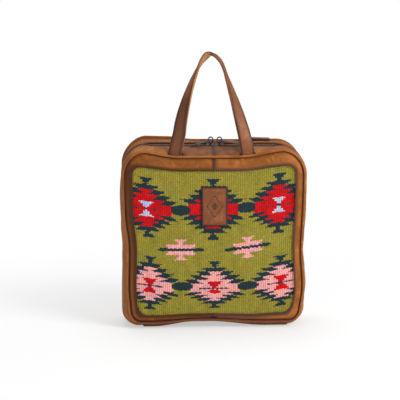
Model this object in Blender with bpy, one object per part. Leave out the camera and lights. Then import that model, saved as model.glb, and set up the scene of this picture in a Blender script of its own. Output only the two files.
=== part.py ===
"""Soft leather toiletry bag: a woven window in a piped frame, a zip round the gusset and one strap handle.

Frame: origin under the middle of the bag, on the surface that it stands on. +Z is up and the woven window
faces -Y. All lengths are metres. Every piece round the bag's edge is a cross-section carried along one
outline, a square with round corners, which is then settled into the sagged shape of the soft bag.
"""

import math

import bmesh
import bpy
from mathutils import Matrix, Vector

# The body
BODY_WIDTH = 0.254
ZIP_HEIGHT = 0.2485
SEAM_DEPTH = 0.069
TOP_CORNER = 0.038
BASE_CORNER = 0.023

# How far the two seams lie inside the zip's line, at the sides, the top and the base
SIDE_BULGE = 0.0050
TOP_BULGE = 0.0040
BASE_BULGE = 0.0085

# How the soft body settles
FRONT_SAG = 0.0088
REAR_SAG = 0.0010
SAG_CENTRE = -0.005
SAG_FLAT = 0.040
SAG_END = 0.105
SAG_DEPTH = 0.070
BASE_ARCH = 0.0065
SEAM_ARCH = 0.0037
ARCH_CENTRE = -0.016
ARCH_FLAT = 0.010
ARCH_LEFT_END = 0.066
ARCH_RIGHT_END = 0.088
ARCH_DEPTH = 0.020
WAIST = 0.0020
HIP = 0.0014
HIP_HEIGHT = 0.105
HIP_SPREAD = 0.035
SWELL = 0.0024
SWELL_HEIGHT = 0.058
SWELL_SPREAD = 0.030
FRONT_TUCK = 0.0040
TUCK_RUN = 0.042
TUCK_HEIGHT = 0.012
TUCK_SPREAD = 0.028
TOP_SLOPE = -0.010
REAR_RISE = 0.0055
REAR_LIFT = 0.0035
REAR_LIFT_START = 0.025
REAR_LIFT_END = 0.060
REAR_FALL_START = 0.090
REAR_FALL_END = 0.125
SETTLING_TOP = ZIP_HEIGHT - 0.0485
SETTLING_FOOT = ZIP_HEIGHT - 0.1285
WAIST_FOOT = ZIP_HEIGHT - 0.1385
ZIP_TILT = math.radians(11)

# The skin's section: nearly straight under the zip, flat under the base, steep at the seams
ZIP_FLAT = 0.008
BASE_FLAT = 0.020
TURN_DEPTH = 0.026
BACK_TRIM = 0.0012
SEAM_VALLEY = 0.0012
SEAM_STEEPNESS = 2.6

# Plies and clearances
GUSSET_PLY = 0.0018
FRAME_PLY = 0.0018
PANEL_PLY = 0.0018
LINING_PLY = 0.0008
GAP = 0.0003
PIPING_RADIUS = 0.0020
PIPING_SIDES = 6

# The front and rear faces
GROOVE_LIFT = 0.0001
SHOULDER_RISE = 0.0036
SHOULDER_RUN = 0.0045
CROWN = 0.0030
CROWN_RUN = 0.090
FRAME_SIDE = 0.0177
FRAME_TOP = 0.0249
WINDOW_WIDTH = BODY_WIDTH - 2 * FRAME_SIDE
WINDOW_FOOT = 0.0195
WINDOW_TOP = ZIP_HEIGHT - FRAME_TOP
WINDOW_CORNER = 0.011
WINDOW_FOOT_CORNER = 0.0155
UNDERLAP = 0.0045
CLOTH_CORNER = 0.022
CLOTH_PLY = 0.0016
RIB_PITCH = 0.0029
RIB_DEPTH = 0.0006
PATCH_WIDTH = 0.0355
PATCH_HEIGHT = 0.0560
PATCH_PLY = 0.0015
PATCH_CENTRE_X = 0.0003
PATCH_DROP = 0.0509
LINING_INSET = 0.0085
LINING_FLAT = 0.018
MIDDLE_SHARE = 0.35

# The zip
ZIP_OPENING = 0.0124
LIP_CLOSING = 0.0020
CORNER_START = 0.99
CORNER_FULL = 0.80
TEETH_PARTING = 0.0016
TEETH_WIDTH = 0.0020
TEETH_HEIGHT = 0.0023
TAPE_WIDTH = 0.0129
TAPE_PLY = 0.0006
LINING_DEPTH = 0.0040
LINING_STOP = 0.0085
LINING_START = 0.0106

# The base leather
BASE_LEATHER = 0.196
BASE_OVERLAP = 0.010
DIVE_START = 0.2
DIVE_END = 0.9

# The sliders and their pulls
SLIDER_MEETING_X = 0.003
SLIDER_LENGTH = 0.0114
SLIDER_GAP = 0.0006
SLIDER_WIDTH = 0.0094
SLIDER_WALL = 0.0011
SLIDER_PLATE = 0.0009
SLIDER_CLEARANCE = 0.0004
SLIDER_SLOT = 0.0014
POST_WIDTH = 0.0010
POST_LENGTH = 0.0024
LOOP_RADIUS = 0.0038
LOOP_HOLE = 0.0024
LOOP_STRETCH = 0.0014
LOOP_WIDTH = 0.0018
LOOP_SINK = 0.0004
NECK_HEIGHT = 0.0026
NECK_LENGTH = 0.0034
NECK_WIDTH = 0.0014
PULL_LENGTH = 0.029
PULL_PLY = 0.0012
PULL_WIDTH = 0.0050
PULL_ARM = 0.0010
PULL_NECK = 0.0036
PULL_NECK_RUN = 0.0040
PULL_PLAY = 0.0005
PULL_CLEARANCE = 0.0004
SLIDE_TRAVEL = 0.072
PULL_YAW = {"left": math.radians(20), "right": math.radians(10)}

# The handle
HANDLE_SPREAD = 0.0967
HANDLE_CENTRE_X = -0.0035
HANDLE_WIDTH = 0.018
HANDLE_PLY = 0.0040
HANDLE_RISE = 0.1395
HANDLE_LEAN = math.radians(16)
HANDLE_BEND = 0.012
HANDLE_EXIT = 0.009
HANDLE_TURN = math.radians(84)
HANDLE_TWIST_RISE = 0.100
CREST_TURN = math.radians(34)
CREST_X = -0.008
CREST_LEFT_REACH = 0.012
CREST_RIGHT_REACH = 0.007
NOTCH_BELOW = 0.030
NOTCH_ABOVE = 0.010
HANDLE_STATIONS = 56

# The rear tab
TAB_LENGTH = 0.038
TAB_WIDTH = 0.015
TAB_PLY = 0.0034
TAB_START_X = 0.042
TAB_START_Y = 0.014
TAB_LIFT = 0.0020

# Stations along one half of the outline: top run, top corner, side, base corner, base run
TOP_STEPS = 7
TOP_CORNER_STEPS = 6
SIDE_STEPS = 6
BASE_CORNER_STEPS = 5
BASE_STEPS = 6

HALF_DEPTH = SEAM_DEPTH / 2
TAPE_DEPTH = GUSSET_PLY + 2 * GAP
ZIP_MIDDLE = TAPE_DEPTH + TAPE_PLY / 2
UP = Vector((0, 0, 1))


def material(name, colour, roughness, metallic=0.0):
    """A Principled material with this colour, roughness and metallic value."""
    made = bpy.data.materials.new(name)
    made.use_nodes = True
    shader = made.node_tree.nodes["Principled BSDF"]
    shader.inputs["Base Color"].default_value = (*colour, 1.0)
    shader.inputs["Roughness"].default_value = roughness
    shader.inputs["Metallic"].default_value = metallic
    return made


def ease(value, start, end):
    """0 at start, 1 at end, with a level tangent at both."""
    share = min(max((value - start) / (end - start), 0.0), 1.0)
    return share * share * (3 - 2 * share)


def rounded_half(half_width, foot, top, top_radius, foot_radius):
    """Points and outward normals down the right half of a rounded rectangle, from top to foot centre."""
    points = []
    start = GAP / 2
    for step in range(TOP_STEPS):
        x = start + (half_width - top_radius - start) * step / TOP_STEPS
        points.append((Vector((x, 0, top)), UP.copy()))
    for step in range(TOP_CORNER_STEPS):
        angle = math.pi / 2 * (1 - step / TOP_CORNER_STEPS)
        normal = Vector((math.cos(angle), 0, math.sin(angle)))
        centre = Vector((half_width - top_radius, 0, top - top_radius))
        points.append((centre + normal * top_radius, normal))
    for step in range(SIDE_STEPS):
        z = top - top_radius + (foot + foot_radius - top + top_radius) * step / SIDE_STEPS
        points.append((Vector((half_width, 0, z)), Vector((1, 0, 0))))
    for step in range(BASE_CORNER_STEPS):
        angle = -math.pi / 2 * step / BASE_CORNER_STEPS
        normal = Vector((math.cos(angle), 0, math.sin(angle)))
        centre = Vector((half_width - foot_radius, 0, foot + foot_radius))
        points.append((centre + normal * foot_radius, normal))
    for step in range(BASE_STEPS + 1):
        x = half_width - foot_radius + (start - half_width + foot_radius) * step / BASE_STEPS
        points.append((Vector((x, 0, foot)), -UP))
    return points


def mirrored(half):
    """The same points on the left half."""
    return [(Vector((-p.x, p.y, p.z)), Vector((-n.x, n.y, n.z))) for p, n in half]


def settled(point, face):
    """Where a point of the crisp outline lies in the sagged bag, in the front, middle or rear plane."""
    sag = {"front": FRONT_SAG, "middle": 0.0, "rear": REAR_SAG}[face]
    arch = BASE_ARCH if face == "middle" else SEAM_ARCH
    slope = 0.0 if face == "front" else TOP_SLOPE
    x, z = point.x, point.z
    waist = WAIST * (1 - ease(z, WAIST_FOOT, SETTLING_TOP))
    waist += HIP * math.exp(-(((z - HIP_HEIGHT) / HIP_SPREAD) ** 2))
    swell = SWELL * (0.5 + x / BODY_WIDTH) * math.exp(-(((z - SWELL_HEIGHT) / SWELL_SPREAD) ** 2))
    settled_x = x * (1 - (waist - swell) / (BODY_WIDTH / 2))
    if face == "front":
        tuck = ease(abs(x), BODY_WIDTH / 2 - TUCK_RUN, BODY_WIDTH / 2)
        tuck *= math.exp(-(((z - TUCK_HEIGHT) / TUCK_SPREAD) ** 2))
        settled_x -= math.copysign(FRONT_TUCK * tuck, x)
    sagging = 1 - ease(abs(settled_x - SAG_CENTRE), SAG_FLAT, SAG_END)
    arch_end = ARCH_LEFT_END if settled_x < ARCH_CENTRE else ARCH_RIGHT_END
    arching = 1 - ease(abs(settled_x - ARCH_CENTRE), ARCH_FLAT, arch_end)
    settled_z = z - sag * sagging * math.exp((z - ZIP_HEIGHT + TOP_BULGE) / SAG_DEPTH)
    settled_z += arch * arching * math.exp(-max(z - BASE_BULGE, 0.0) / ARCH_DEPTH)
    lift = slope * x
    if face == "rear":
        falling = 1 - ease(-x, REAR_FALL_START, REAR_FALL_END)
        lift += REAR_RISE + REAR_LIFT * ease(-x, REAR_LIFT_START, REAR_LIFT_END) * falling
    settled_z += lift * ease(z, SETTLING_FOOT, SETTLING_TOP)
    return Vector((settled_x, 0, settled_z))


def bulge(normal):
    """How far the seams lie inside the zip's line at a station with this normal."""
    up = max(normal.z, 0.0) ** 2
    down = max(-normal.z, 0.0) ** 2
    return SIDE_BULGE + (TOP_BULGE - SIDE_BULGE) * up + (BASE_BULGE - SIDE_BULGE) * down


def seam(station, face):
    """The settled seam line of the front or rear face at a station."""
    point, normal = station
    return settled(point - normal * bulge(normal), face)


def skin(station, y, inset=0.0):
    """The gusset's outer skin at depth y, moved inwards by inset along the station's normal."""
    point, normal = station
    face = "front" if y < 0 else "rear"
    side = -1 if y < 0 else 1
    down = max(-normal.z, 0.0) ** 2
    tilt = math.tan(ZIP_TILT) * max(normal.z, 0.0) ** 2
    flat = ZIP_FLAT + (BASE_FLAT - ZIP_FLAT) * down
    middle = settled(point, "middle")
    level = normal * tilt
    if abs(y) <= flat:
        found = middle + level * y
    else:
        run = HALF_DEPTH - flat
        t = (abs(y) - flat) / run
        valley = seam(station, face) - normal * SEAM_VALLEY
        near = middle + level * (side * flat)
        near_slope = level * side
        far_slope = normal * (SEAM_STEEPNESS * (valley - near).dot(normal) / run)
        found = near * (2 * t**3 - 3 * t**2 + 1) + near_slope * (run * (t**3 - 2 * t**2 + t))
        found += valley * (3 * t**2 - 2 * t**3) + far_slope * (run * (t**3 - t**2))
    found = found - normal * inset
    return Vector((found.x, y, found.z))


def tucked(station):
    """How far the strips and the zip dive under the base leather's ends: one ply, past the base corner."""
    return (GUSSET_PLY + GAP) * ease(-station[1].z, DIVE_START, DIVE_END)


def mesh_object(name, faces, points, look):
    """A named object of these faces, facing outwards, with the given material."""
    shape = bmesh.new()
    corners = [shape.verts.new(point) for point in points]
    for face in faces:
        shape.faces.new([corners[index] for index in face])
    bmesh.ops.recalc_face_normals(shape, faces=shape.faces)
    mesh = bpy.data.meshes.new(name)
    shape.to_mesh(mesh)
    shape.free()
    mesh.materials.append(look)
    made = bpy.data.objects.new(name, mesh)
    bpy.context.scene.collection.objects.link(made)
    return made


def swept(name, rings, look, closed=False):
    """A solid whose cross-section rings follow one another, ending in caps or running round."""
    count = len(rings[0])
    points = [point for ring in rings for point in ring]
    faces = []
    for index in range(len(rings) if closed else len(rings) - 1):
        following = (index + 1) % len(rings)
        for corner in range(count):
            beside = (corner + 1) % count
            here = index * count
            there = following * count
            faces.append((here + corner, here + beside, there + beside, there + corner))
    if not closed:
        faces.append(tuple(range(count)))
        faces.append(tuple(range((len(rings) - 1) * count, len(rings) * count)))
    made = mesh_object(name, faces, points, look)
    made.data.shade_smooth()
    made.data.set_sharp_from_angle(angle=math.radians(50))
    return made


def box_between(name, low, high):
    """A plain box from one corner to the other."""
    points = [(x, y, z) for x in (low[0], high[0]) for y in (low[1], high[1]) for z in (low[2], high[2])]
    faces = [(0, 1, 3, 2), (4, 6, 7, 5), (0, 4, 5, 1), (2, 3, 7, 6), (0, 2, 6, 4), (1, 5, 7, 3)]
    return mesh_object(name, faces, points, LOOKS["steel"])


def cut(target, cutter):
    """Takes the cutter's shape out of the target, and hides the cutter."""
    modifier = target.modifiers.new("cut", "BOOLEAN")
    modifier.operation = "DIFFERENCE"
    modifier.object = cutter
    cutter.hide_render = True
    cutter.display_type = "WIRE"


def joined(target, added):
    """Adds another solid to the target as one body, and hides the piece added."""
    modifier = target.modifiers.new("join", "BOOLEAN")
    modifier.operation = "UNION"
    modifier.object = added
    added.hide_render = True
    added.display_type = "WIRE"


def face_depth(inset):
    """How far outside the middle plane the front or rear leather lies, this far in from the seam."""
    shoulder = SHOULDER_RISE * ease(inset, PIPING_RADIUS + GAP, PIPING_RADIUS + GAP + SHOULDER_RUN)
    crown = CROWN * ease(inset, 0.0, CROWN_RUN)
    return HALF_DEPTH + GROOVE_LIFT + shoulder + crown


def front_point(placed, inset, sunk):
    """A settled point of the front face, sunk behind the frame's outer surface."""
    return Vector((placed.x, sunk - face_depth(inset), placed.z))


def rear_point(placed, inset, sunk):
    """A settled point of the rear face, sunk inside the rear leather's outer surface."""
    return Vector((placed.x, face_depth(inset) - sunk, placed.z))


def cloth_point(x, z, sunk):
    """A point behind the frame, from where it lies on the crisp front face."""
    return front_point(settled(Vector((x, 0, z)), "front"), seam_inset(x, z), sunk)


def seam_inset(x, z):
    """How far a point of the crisp front face lies inside the seam's own rounded outline."""
    half_width = BODY_WIDTH / 2 - SIDE_BULGE
    foot = BASE_BULGE
    top = ZIP_HEIGHT - TOP_BULGE
    radius = TOP_CORNER - SIDE_BULGE if z > (foot + top) / 2 else BASE_CORNER - SIDE_BULGE
    past_x = abs(x) - half_width + radius
    past_z = abs(z - (foot + top) / 2) - (top - foot) / 2 + radius
    outside = math.hypot(max(past_x, 0.0), max(past_z, 0.0)) + min(max(past_x, past_z), 0.0)
    return radius - outside


RIGHT = rounded_half(BODY_WIDTH / 2, 0.0, ZIP_HEIGHT, TOP_CORNER, BASE_CORNER)
LEFT = mirrored(RIGHT)
ROUND = RIGHT[:-1] + LEFT[:0:-1]
WINDOW_RIGHT = rounded_half(WINDOW_WIDTH / 2, WINDOW_FOOT, WINDOW_TOP, WINDOW_CORNER, WINDOW_FOOT_CORNER)
WINDOW = {"left": mirrored(WINDOW_RIGHT), "right": WINDOW_RIGHT}
WINDOW_ROUND = WINDOW_RIGHT[:-1] + WINDOW["left"][:0:-1]
SIDES = {"left": LEFT, "right": RIGHT}


def strip_stations(half):
    """The stations of one half from the top centre to where the strips end under the base leather."""
    end_x = BASE_LEATHER / 2 - BASE_OVERLAP
    kept = [station for station in half if station[1].z > -0.99 or abs(station[0].x) > end_x]
    last, normal = kept[-1]
    end = Vector((math.copysign(end_x, last.x), last.y, last.z))
    return kept + [(end, normal)]


def band(stations, outline, extra=None):
    """Rings of a strip: outline gives pairs of depth y and inset below the skin."""
    rings = []
    for station in stations:
        more = extra(station) if extra else 0.0
        rings.append([skin(station, y, inset + more) for y, inset in outline])
    return rings


def build_frames():
    """The two C-shaped halves of the front frame, from the piping's groove in to the window."""
    start = PIPING_RADIUS + GAP
    shares = (0.0, 0.22, 0.5, 1.0)
    for side, stations in SIDES.items():
        rings = []
        for station, window in zip(stations, WINDOW[side]):
            point, normal = station
            outer = point - normal * (bulge(normal) + start)
            across = window[0] - outer
            spots = []
            for share in shares:
                spots.append((settled(outer + across * share, "front"), start + across.length * share))
            spots[0] = (seam(station, "front") - normal * start, start)
            ring = [front_point(spot, inset, 0.0) for spot, inset in spots]
            ring += [front_point(spot, inset, FRAME_PLY) for spot, inset in reversed(spots)]
            rings.append(ring)
        swept(f"front_frame_{side}", rings, LOOKS["leather"])


def build_woven_panel():
    """The ribbed cloth, tucked under the frame all round, with its ribs upright."""
    half_width = WINDOW_WIDTH / 2 + UNDERLAP
    foot = WINDOW_FOOT - UNDERLAP
    top = WINDOW_TOP + UNDERLAP
    corner = CLOTH_CORNER
    ribs = round(2 * half_width / RIB_PITCH)
    columns = 2 * ribs
    front_rows = (0.0, 0.06, 0.3, 0.7, 0.94, 1.0)
    back_rows = (1.0, 0.93, 0.5, 0.07, 0.0)
    sunk = FRAME_PLY + GAP
    rings = []
    for column in range(columns + 1):
        x = half_width * (2 * column / columns - 1)
        past = max(abs(x) - half_width + corner, 0.0)
        short = corner - math.sqrt(max(corner**2 - past**2, 0.0))
        low = foot + short
        high = top - short
        valley = RIB_DEPTH * (1 - column % 2)
        ring = []
        for share in front_rows:
            ring.append(cloth_point(x, low + (high - low) * share, sunk + valley))
        for share in back_rows:
            ring.append(cloth_point(x, low + (high - low) * share, sunk + RIB_DEPTH + CLOTH_PLY))
        rings.append(ring)
    made = swept("woven_panel", rings, LOOKS["cloth"])
    made.data.shade_flat()


def build_patch():
    """The upright leather patch on the cloth's ribs."""
    rings = []
    steps = 4
    for step in range(steps + 1):
        x = PATCH_CENTRE_X + PATCH_WIDTH * (step / steps - 0.5)
        heights = [WINDOW_TOP - PATCH_DROP + PATCH_HEIGHT * (row / steps - 0.5) for row in range(steps + 1)]
        back = FRAME_PLY
        front = back - PATCH_PLY
        ring = [cloth_point(x, z, front) for z in heights]
        ring += [cloth_point(x, z, back) for z in reversed(heights)]
        rings.append(ring)
    swept("front_patch", rings, LOOKS["leather_dark"])


def build_piping():
    """A round piping along each seam."""
    for face, y in (("front", -HALF_DEPTH), ("rear", HALF_DEPTH)):
        rings = []
        for station in ROUND:
            centre = seam(station, face)
            ring = []
            for corner in range(PIPING_SIDES):
                angle = 2 * math.pi * corner / PIPING_SIDES
                out = station[1] * (PIPING_RADIUS * math.cos(angle))
                ring.append(Vector((centre.x, y + PIPING_RADIUS * math.sin(angle), centre.z)) + out)
            rings.append(ring)
        swept(f"{face}_piping", rings, LOOKS["leather"], closed=True)


def build_gusset():
    """The four leather strips beside the zip and the base leather over their ends."""
    edge = HALF_DEPTH - PIPING_RADIUS - GAP
    for face, sign in (("front", -1), ("rear", 1)):
        for side, half in SIDES.items():
            rings = []
            for station in strip_stations(half):
                lip = lip_depth(station)
                outline = ((edge, 0.0), (TURN_DEPTH, 0.0), (BASE_FLAT, 0.0), (lip, 0.0))
                outline += ((lip, GUSSET_PLY), (BASE_FLAT, GUSSET_PLY), (edge - BACK_TRIM, GUSSET_PLY))
                rings.append([skin(station, sign * y, inset + tucked(station)) for y, inset in outline])
            swept(f"gusset_{face}_{side}", rings, LOOKS["leather"])
    reach = BASE_LEATHER / 2
    stations = base_stations(reach)
    back = edge - BACK_TRIM
    section = [(y, 0.0) for y in (-edge, -TURN_DEPTH, -BASE_FLAT, BASE_FLAT, TURN_DEPTH, edge)]
    section += [(y, GUSSET_PLY) for y in (back, TURN_DEPTH, BASE_FLAT, -BASE_FLAT, -TURN_DEPTH, -back)]
    swept("gusset_base", band(stations, section), LOOKS["leather"])


def lip_depth(station):
    """Where a strip's folded lip lies beside the zip: the lips draw together past the top corners."""
    return ZIP_OPENING / 2 - LIP_CLOSING * (1 - ease(station[1].z, CORNER_FULL, CORNER_START))


def base_stations(reach):
    """Stations along the base from the left reach to the right one."""
    right = [station for station in RIGHT if station[1].z < -0.99 and station[0].x < reach - 0.001]
    right = [(Vector((reach, 0, 0)), -UP)] + right[:-1]
    return mirrored(right) + [(Vector((0, 0, 0)), -UP)] + right[::-1]


def build_zip():
    """The two tapes and the two rows of teeth, which end under the base leather."""
    teeth_start = TEETH_PARTING / 2
    teeth_end = teeth_start + TEETH_WIDTH
    tape_start = teeth_end + GAP
    tape_end = tape_start + TAPE_WIDTH
    tape_top = TAPE_DEPTH
    middle = ZIP_MIDDLE
    stations = strip_stations(LEFT)[::-1] + strip_stations(RIGHT)
    for face, sign in (("front", -1), ("rear", 1)):
        tape = ((tape_start, tape_top), (tape_end, tape_top))
        tape += ((tape_end, tape_top + TAPE_PLY), (tape_start, tape_top + TAPE_PLY))
        teeth = ((teeth_start, middle - TEETH_HEIGHT / 2), (teeth_end, middle - TEETH_HEIGHT / 2))
        teeth += ((teeth_end, middle + TEETH_HEIGHT / 2), (teeth_start, middle + TEETH_HEIGHT / 2))
        for part, section, look in (("tape", tape, "tape"), ("teeth", teeth, "teeth")):
            rings = band(stations, [(sign * y, inset) for y, inset in section], tucked)
            swept(f"zip_{part}_{face}", rings, LOOKS[look])


def build_linings():
    """Thin cloth behind the front face, the rear panel, the strips and the base leather."""
    outer = LINING_DEPTH
    start = LINING_START
    end = HALF_DEPTH - LINING_STOP
    middle = (start + end) / 2
    stations = strip_stations(LEFT)[::-1] + strip_stations(RIGHT)
    for face, sign in (("front", -1), ("rear", 1)):
        section = [(sign * y, outer) for y in (start, middle, end)]
        section += [(sign * y, outer + LINING_PLY) for y in (end, middle, start)]
        swept(f"gusset_lining_{face}", band(stations, section, tucked), LOOKS["lining"])
    reach = BASE_LEATHER / 2 - BASE_OVERLAP - GAP
    top = 2 * (GUSSET_PLY + GAP)
    section = [(-end, top), (end, top), (end, top + LINING_PLY), (-end, top + LINING_PLY)]
    swept("base_lining", band(base_stations(reach), section), LOOKS["lining"])


def build_faces():
    """The rear panel and the linings of both faces: sheets cut to the seam's outline."""
    start = PIPING_RADIUS + GAP
    panel = (start, start + SHOULDER_RUN / 2, start + SHOULDER_RUN * 1.2)
    lining = (LINING_INSET, LINING_FLAT)
    sheet("rear_panel", "rear", panel, 0.0, PANEL_PLY, LOOKS["leather"], (1.0, MIDDLE_SHARE))
    sheet("rear_lining", "rear", lining, PANEL_PLY + GAP, LINING_PLY, LOOKS["lining"])
    behind = FRAME_PLY + GAP + RIB_DEPTH + CLOTH_PLY + GAP
    sheet("front_lining", "front", lining, behind, LINING_PLY, LOOKS["lining"])


def sheet(name, face, insets, sunk, ply, look, shares=()):
    """A sheet inside the seam's outline: rings at these insets, then at shares of the window's size."""
    placed = front_point if face == "front" else rear_point
    rings = []
    for depth in (sunk + ply, sunk):
        layer = []
        for inset in insets:
            layer.append([placed(face_spot(station, inset, face), inset, depth) for station in ROUND])
        for share in shares:
            spots = [window_spot(station, share) for station in WINDOW_ROUND]
            layer.append([placed(settled(s, face), seam_inset(s.x, s.z), depth) for s in spots])
        rings += layer[::-1] if depth > sunk else layer
    swept(name, rings, look)


def window_spot(station, share):
    """A point of the window's outline drawn in towards the window's centre."""
    centre = Vector((0, 0, (WINDOW_FOOT + WINDOW_TOP) / 2))
    return centre + (station[0] - centre) * share


def face_spot(station, inset, face):
    """A settled point this far in from the seam; next to the piping it keeps its distance exactly."""
    point, normal = station
    if inset < SHOULDER_RUN:
        return seam(station, face) - normal * inset
    return settled(point - normal * (bulge(normal) + inset), face)


def build_sliders():
    """Two sliders nose to nose at the top centre, each with a tall loop and a pull hinged in it."""
    for side, sign in (("left", -1), ("right", 1)):
        across = SLIDER_MEETING_X + sign * (SLIDER_LENGTH + SLIDER_GAP) / 2
        place = slider_place(across, sign)
        shape = slider_solid(f"slider_{side}")
        shape.matrix_world = place
        for modifier in shape.modifiers:
            modifier.object.matrix_world = place
        build_pull(side, sign, place @ Vector((0, 0, loop_height())))


def loop_height():
    """The pull's hinge above the middle of the teeth."""
    return slider_half_height() + NECK_HEIGHT + LOOP_RADIUS - LOOP_SINK


def slider_half_height():
    """From the middle of the teeth to a plate's outer face."""
    return TEETH_HEIGHT / 2 + SLIDER_CLEARANCE + SLIDER_PLATE


def top_station(x):
    """A station on the straight top run."""
    return (Vector((x, 0, ZIP_HEIGHT)), UP.copy())


def slider_place(x, sign):
    """The slider's frame: its nose towards the centre, its floor along the tilted tape."""
    origin = skin(top_station(x), 0.0, ZIP_MIDDLE)
    along = Vector((1, 0, TOP_SLOPE)).normalized()
    across = Vector((0, math.cos(ZIP_TILT), math.sin(ZIP_TILT)))
    across = (across - along * across.dot(along)).normalized()
    normal = along.cross(across)
    if sign > 0:
        along, across = -along, -across
    turn = Matrix((along, across, normal)).transposed().to_4x4()
    return Matrix.Translation(origin) @ turn


def slider_solid(name):
    """Two plates with side walls, a post between them at the nose, and a loop on a short neck on top."""
    half_height = slider_half_height()
    inner = half_height - SLIDER_PLATE
    half_width = SLIDER_WIDTH / 2
    wall = half_width - SLIDER_WALL
    slot = SLIDER_SLOT / 2
    half_length = SLIDER_LENGTH / 2
    profile = [(-half_width, half_height), (half_width, half_height), (half_width, slot), (wall, slot)]
    profile += [(wall, inner), (-wall, inner), (-wall, slot), (-half_width, slot)]
    ends = (-half_length, half_length)
    body = swept(name, [[Vector((x, y, z)) for y, z in profile] for x in ends], LOOKS["steel"])
    floor_rings = [[Vector((x, y, -z)) for y, z in profile] for x in ends]
    floor = swept(f"{name}_floor", floor_rings, LOOKS["steel"])
    post_start = half_length - POST_LENGTH
    sunk = SLIDER_PLATE / 2
    low = (post_start, -POST_WIDTH / 2, -inner - sunk)
    high = (half_length - GAP, POST_WIDTH / 2, inner + sunk)
    post = box_between(f"{name}_post", low, high)
    loop = loop_solid(f"{name}_loop")
    neck_top = loop_height() - (LOOP_RADIUS + LOOP_HOLE) / 2
    low = (-NECK_LENGTH / 2, -NECK_WIDTH / 2, half_height - sunk)
    neck = box_between(f"{name}_neck", low, (NECK_LENGTH / 2, NECK_WIDTH / 2, neck_top))
    for added in (floor, post, neck, loop):
        joined(body, added)
    return body


def loop_solid(name):
    """The slider's tall ring, its hole facing across the zip."""
    sides = 14
    rings = []
    for corner in range(sides):
        angle = 2 * math.pi * corner / sides
        direction = Vector((math.cos(angle), 0, math.sin(angle)))
        centre = Vector((0, 0, loop_height() + (LOOP_STRETCH if corner <= sides / 2 else 0.0)))
        ring = []
        for radius, y in ((LOOP_RADIUS, -1), (LOOP_RADIUS, 1), (LOOP_HOLE, 1), (LOOP_HOLE, -1)):
            ring.append(centre + direction * radius + Vector((0, y * LOOP_WIDTH / 2, 0)))
        rings.append(ring)
    return swept(name, rings, LOOKS["steel"], closed=True)


def build_pull(side, sign, axis_point):
    """A flat pull with an open eye: its end bar lies in the slider's loop, on the hinge's axis."""
    yaw = PULL_YAW[side]
    out = Vector((sign * math.cos(yaw), -math.sin(yaw), 0))
    across = UP.cross(out) * -sign
    pitch = pull_pitch(axis_point, out, across, sign)
    along = out * math.cos(pitch) - UP * math.sin(pitch)
    frame = Matrix((along, across, along.cross(across))).transposed().to_4x4()
    half_bar = PULL_PLY / 2
    eye_reach = LOOP_RADIUS + LOOP_STRETCH + PULL_PLAY
    eye_half = LOOP_RADIUS * math.sin(max(PULL_YAW.values())) + LOOP_WIDTH / 2 + PULL_PLAY
    arm = eye_half + PULL_ARM
    half_width = PULL_WIDTH / 2
    neck = eye_reach + PULL_ARM * 3
    half = [(-half_bar, arm * 0.9), (half_bar, arm), (eye_reach + PULL_ARM * 0.6, arm)]
    half += [(neck, PULL_NECK / 2), (neck + PULL_NECK_RUN, PULL_NECK / 2 * 1.1)]
    half += [(PULL_LENGTH * 0.86, half_width), (PULL_LENGTH * 0.97, half_width * 0.7)]
    half += [(PULL_LENGTH, half_width * 0.25)]
    outline = half + [(x, -y) for x, y in reversed(half)]
    rings = [[Vector((x, y, z)) for x, y in outline] for z in (-half_bar, half_bar)]
    pull = swept(f"puller_{side}", rings, LOOKS["steel"])
    low, high = (half_bar, -eye_half, -PULL_PLY), (eye_reach, eye_half, PULL_PLY)
    window = box_between(f"puller_{side}_eye", low, high)
    cut(pull, window)
    place = Matrix.Translation(axis_point) @ frame
    pull.matrix_world = place
    window.matrix_world = place


def pull_pitch(axis_point, out, across, sign):
    """How far a pull may hang below level and still clear the leather all along its slider's travel."""
    least = math.pi / 2
    half_width = PULL_WIDTH / 2
    straight = BODY_WIDTH / 2 - TOP_CORNER
    for moved in (0.0, 0.25, 0.5, 0.75, 1.0):
        along = sign * SLIDE_TRAVEL * moved
        start = axis_point + Vector((along, 0, along * TOP_SLOPE))
        for share in (0.4, 0.6, 0.8, 0.9, 1.0):
            for edge in (-half_width, 0.0, half_width):
                reach = PULL_LENGTH * share
                spot = start + out * reach + across * edge
                x = math.copysign(min(abs(spot.x), straight), spot.x)
                floor = skin(top_station(x), spot.y).z + PULL_CLEARANCE + PULL_PLY / 2
                least = min(least, math.asin((start.z - floor) / reach))
    return least


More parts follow.
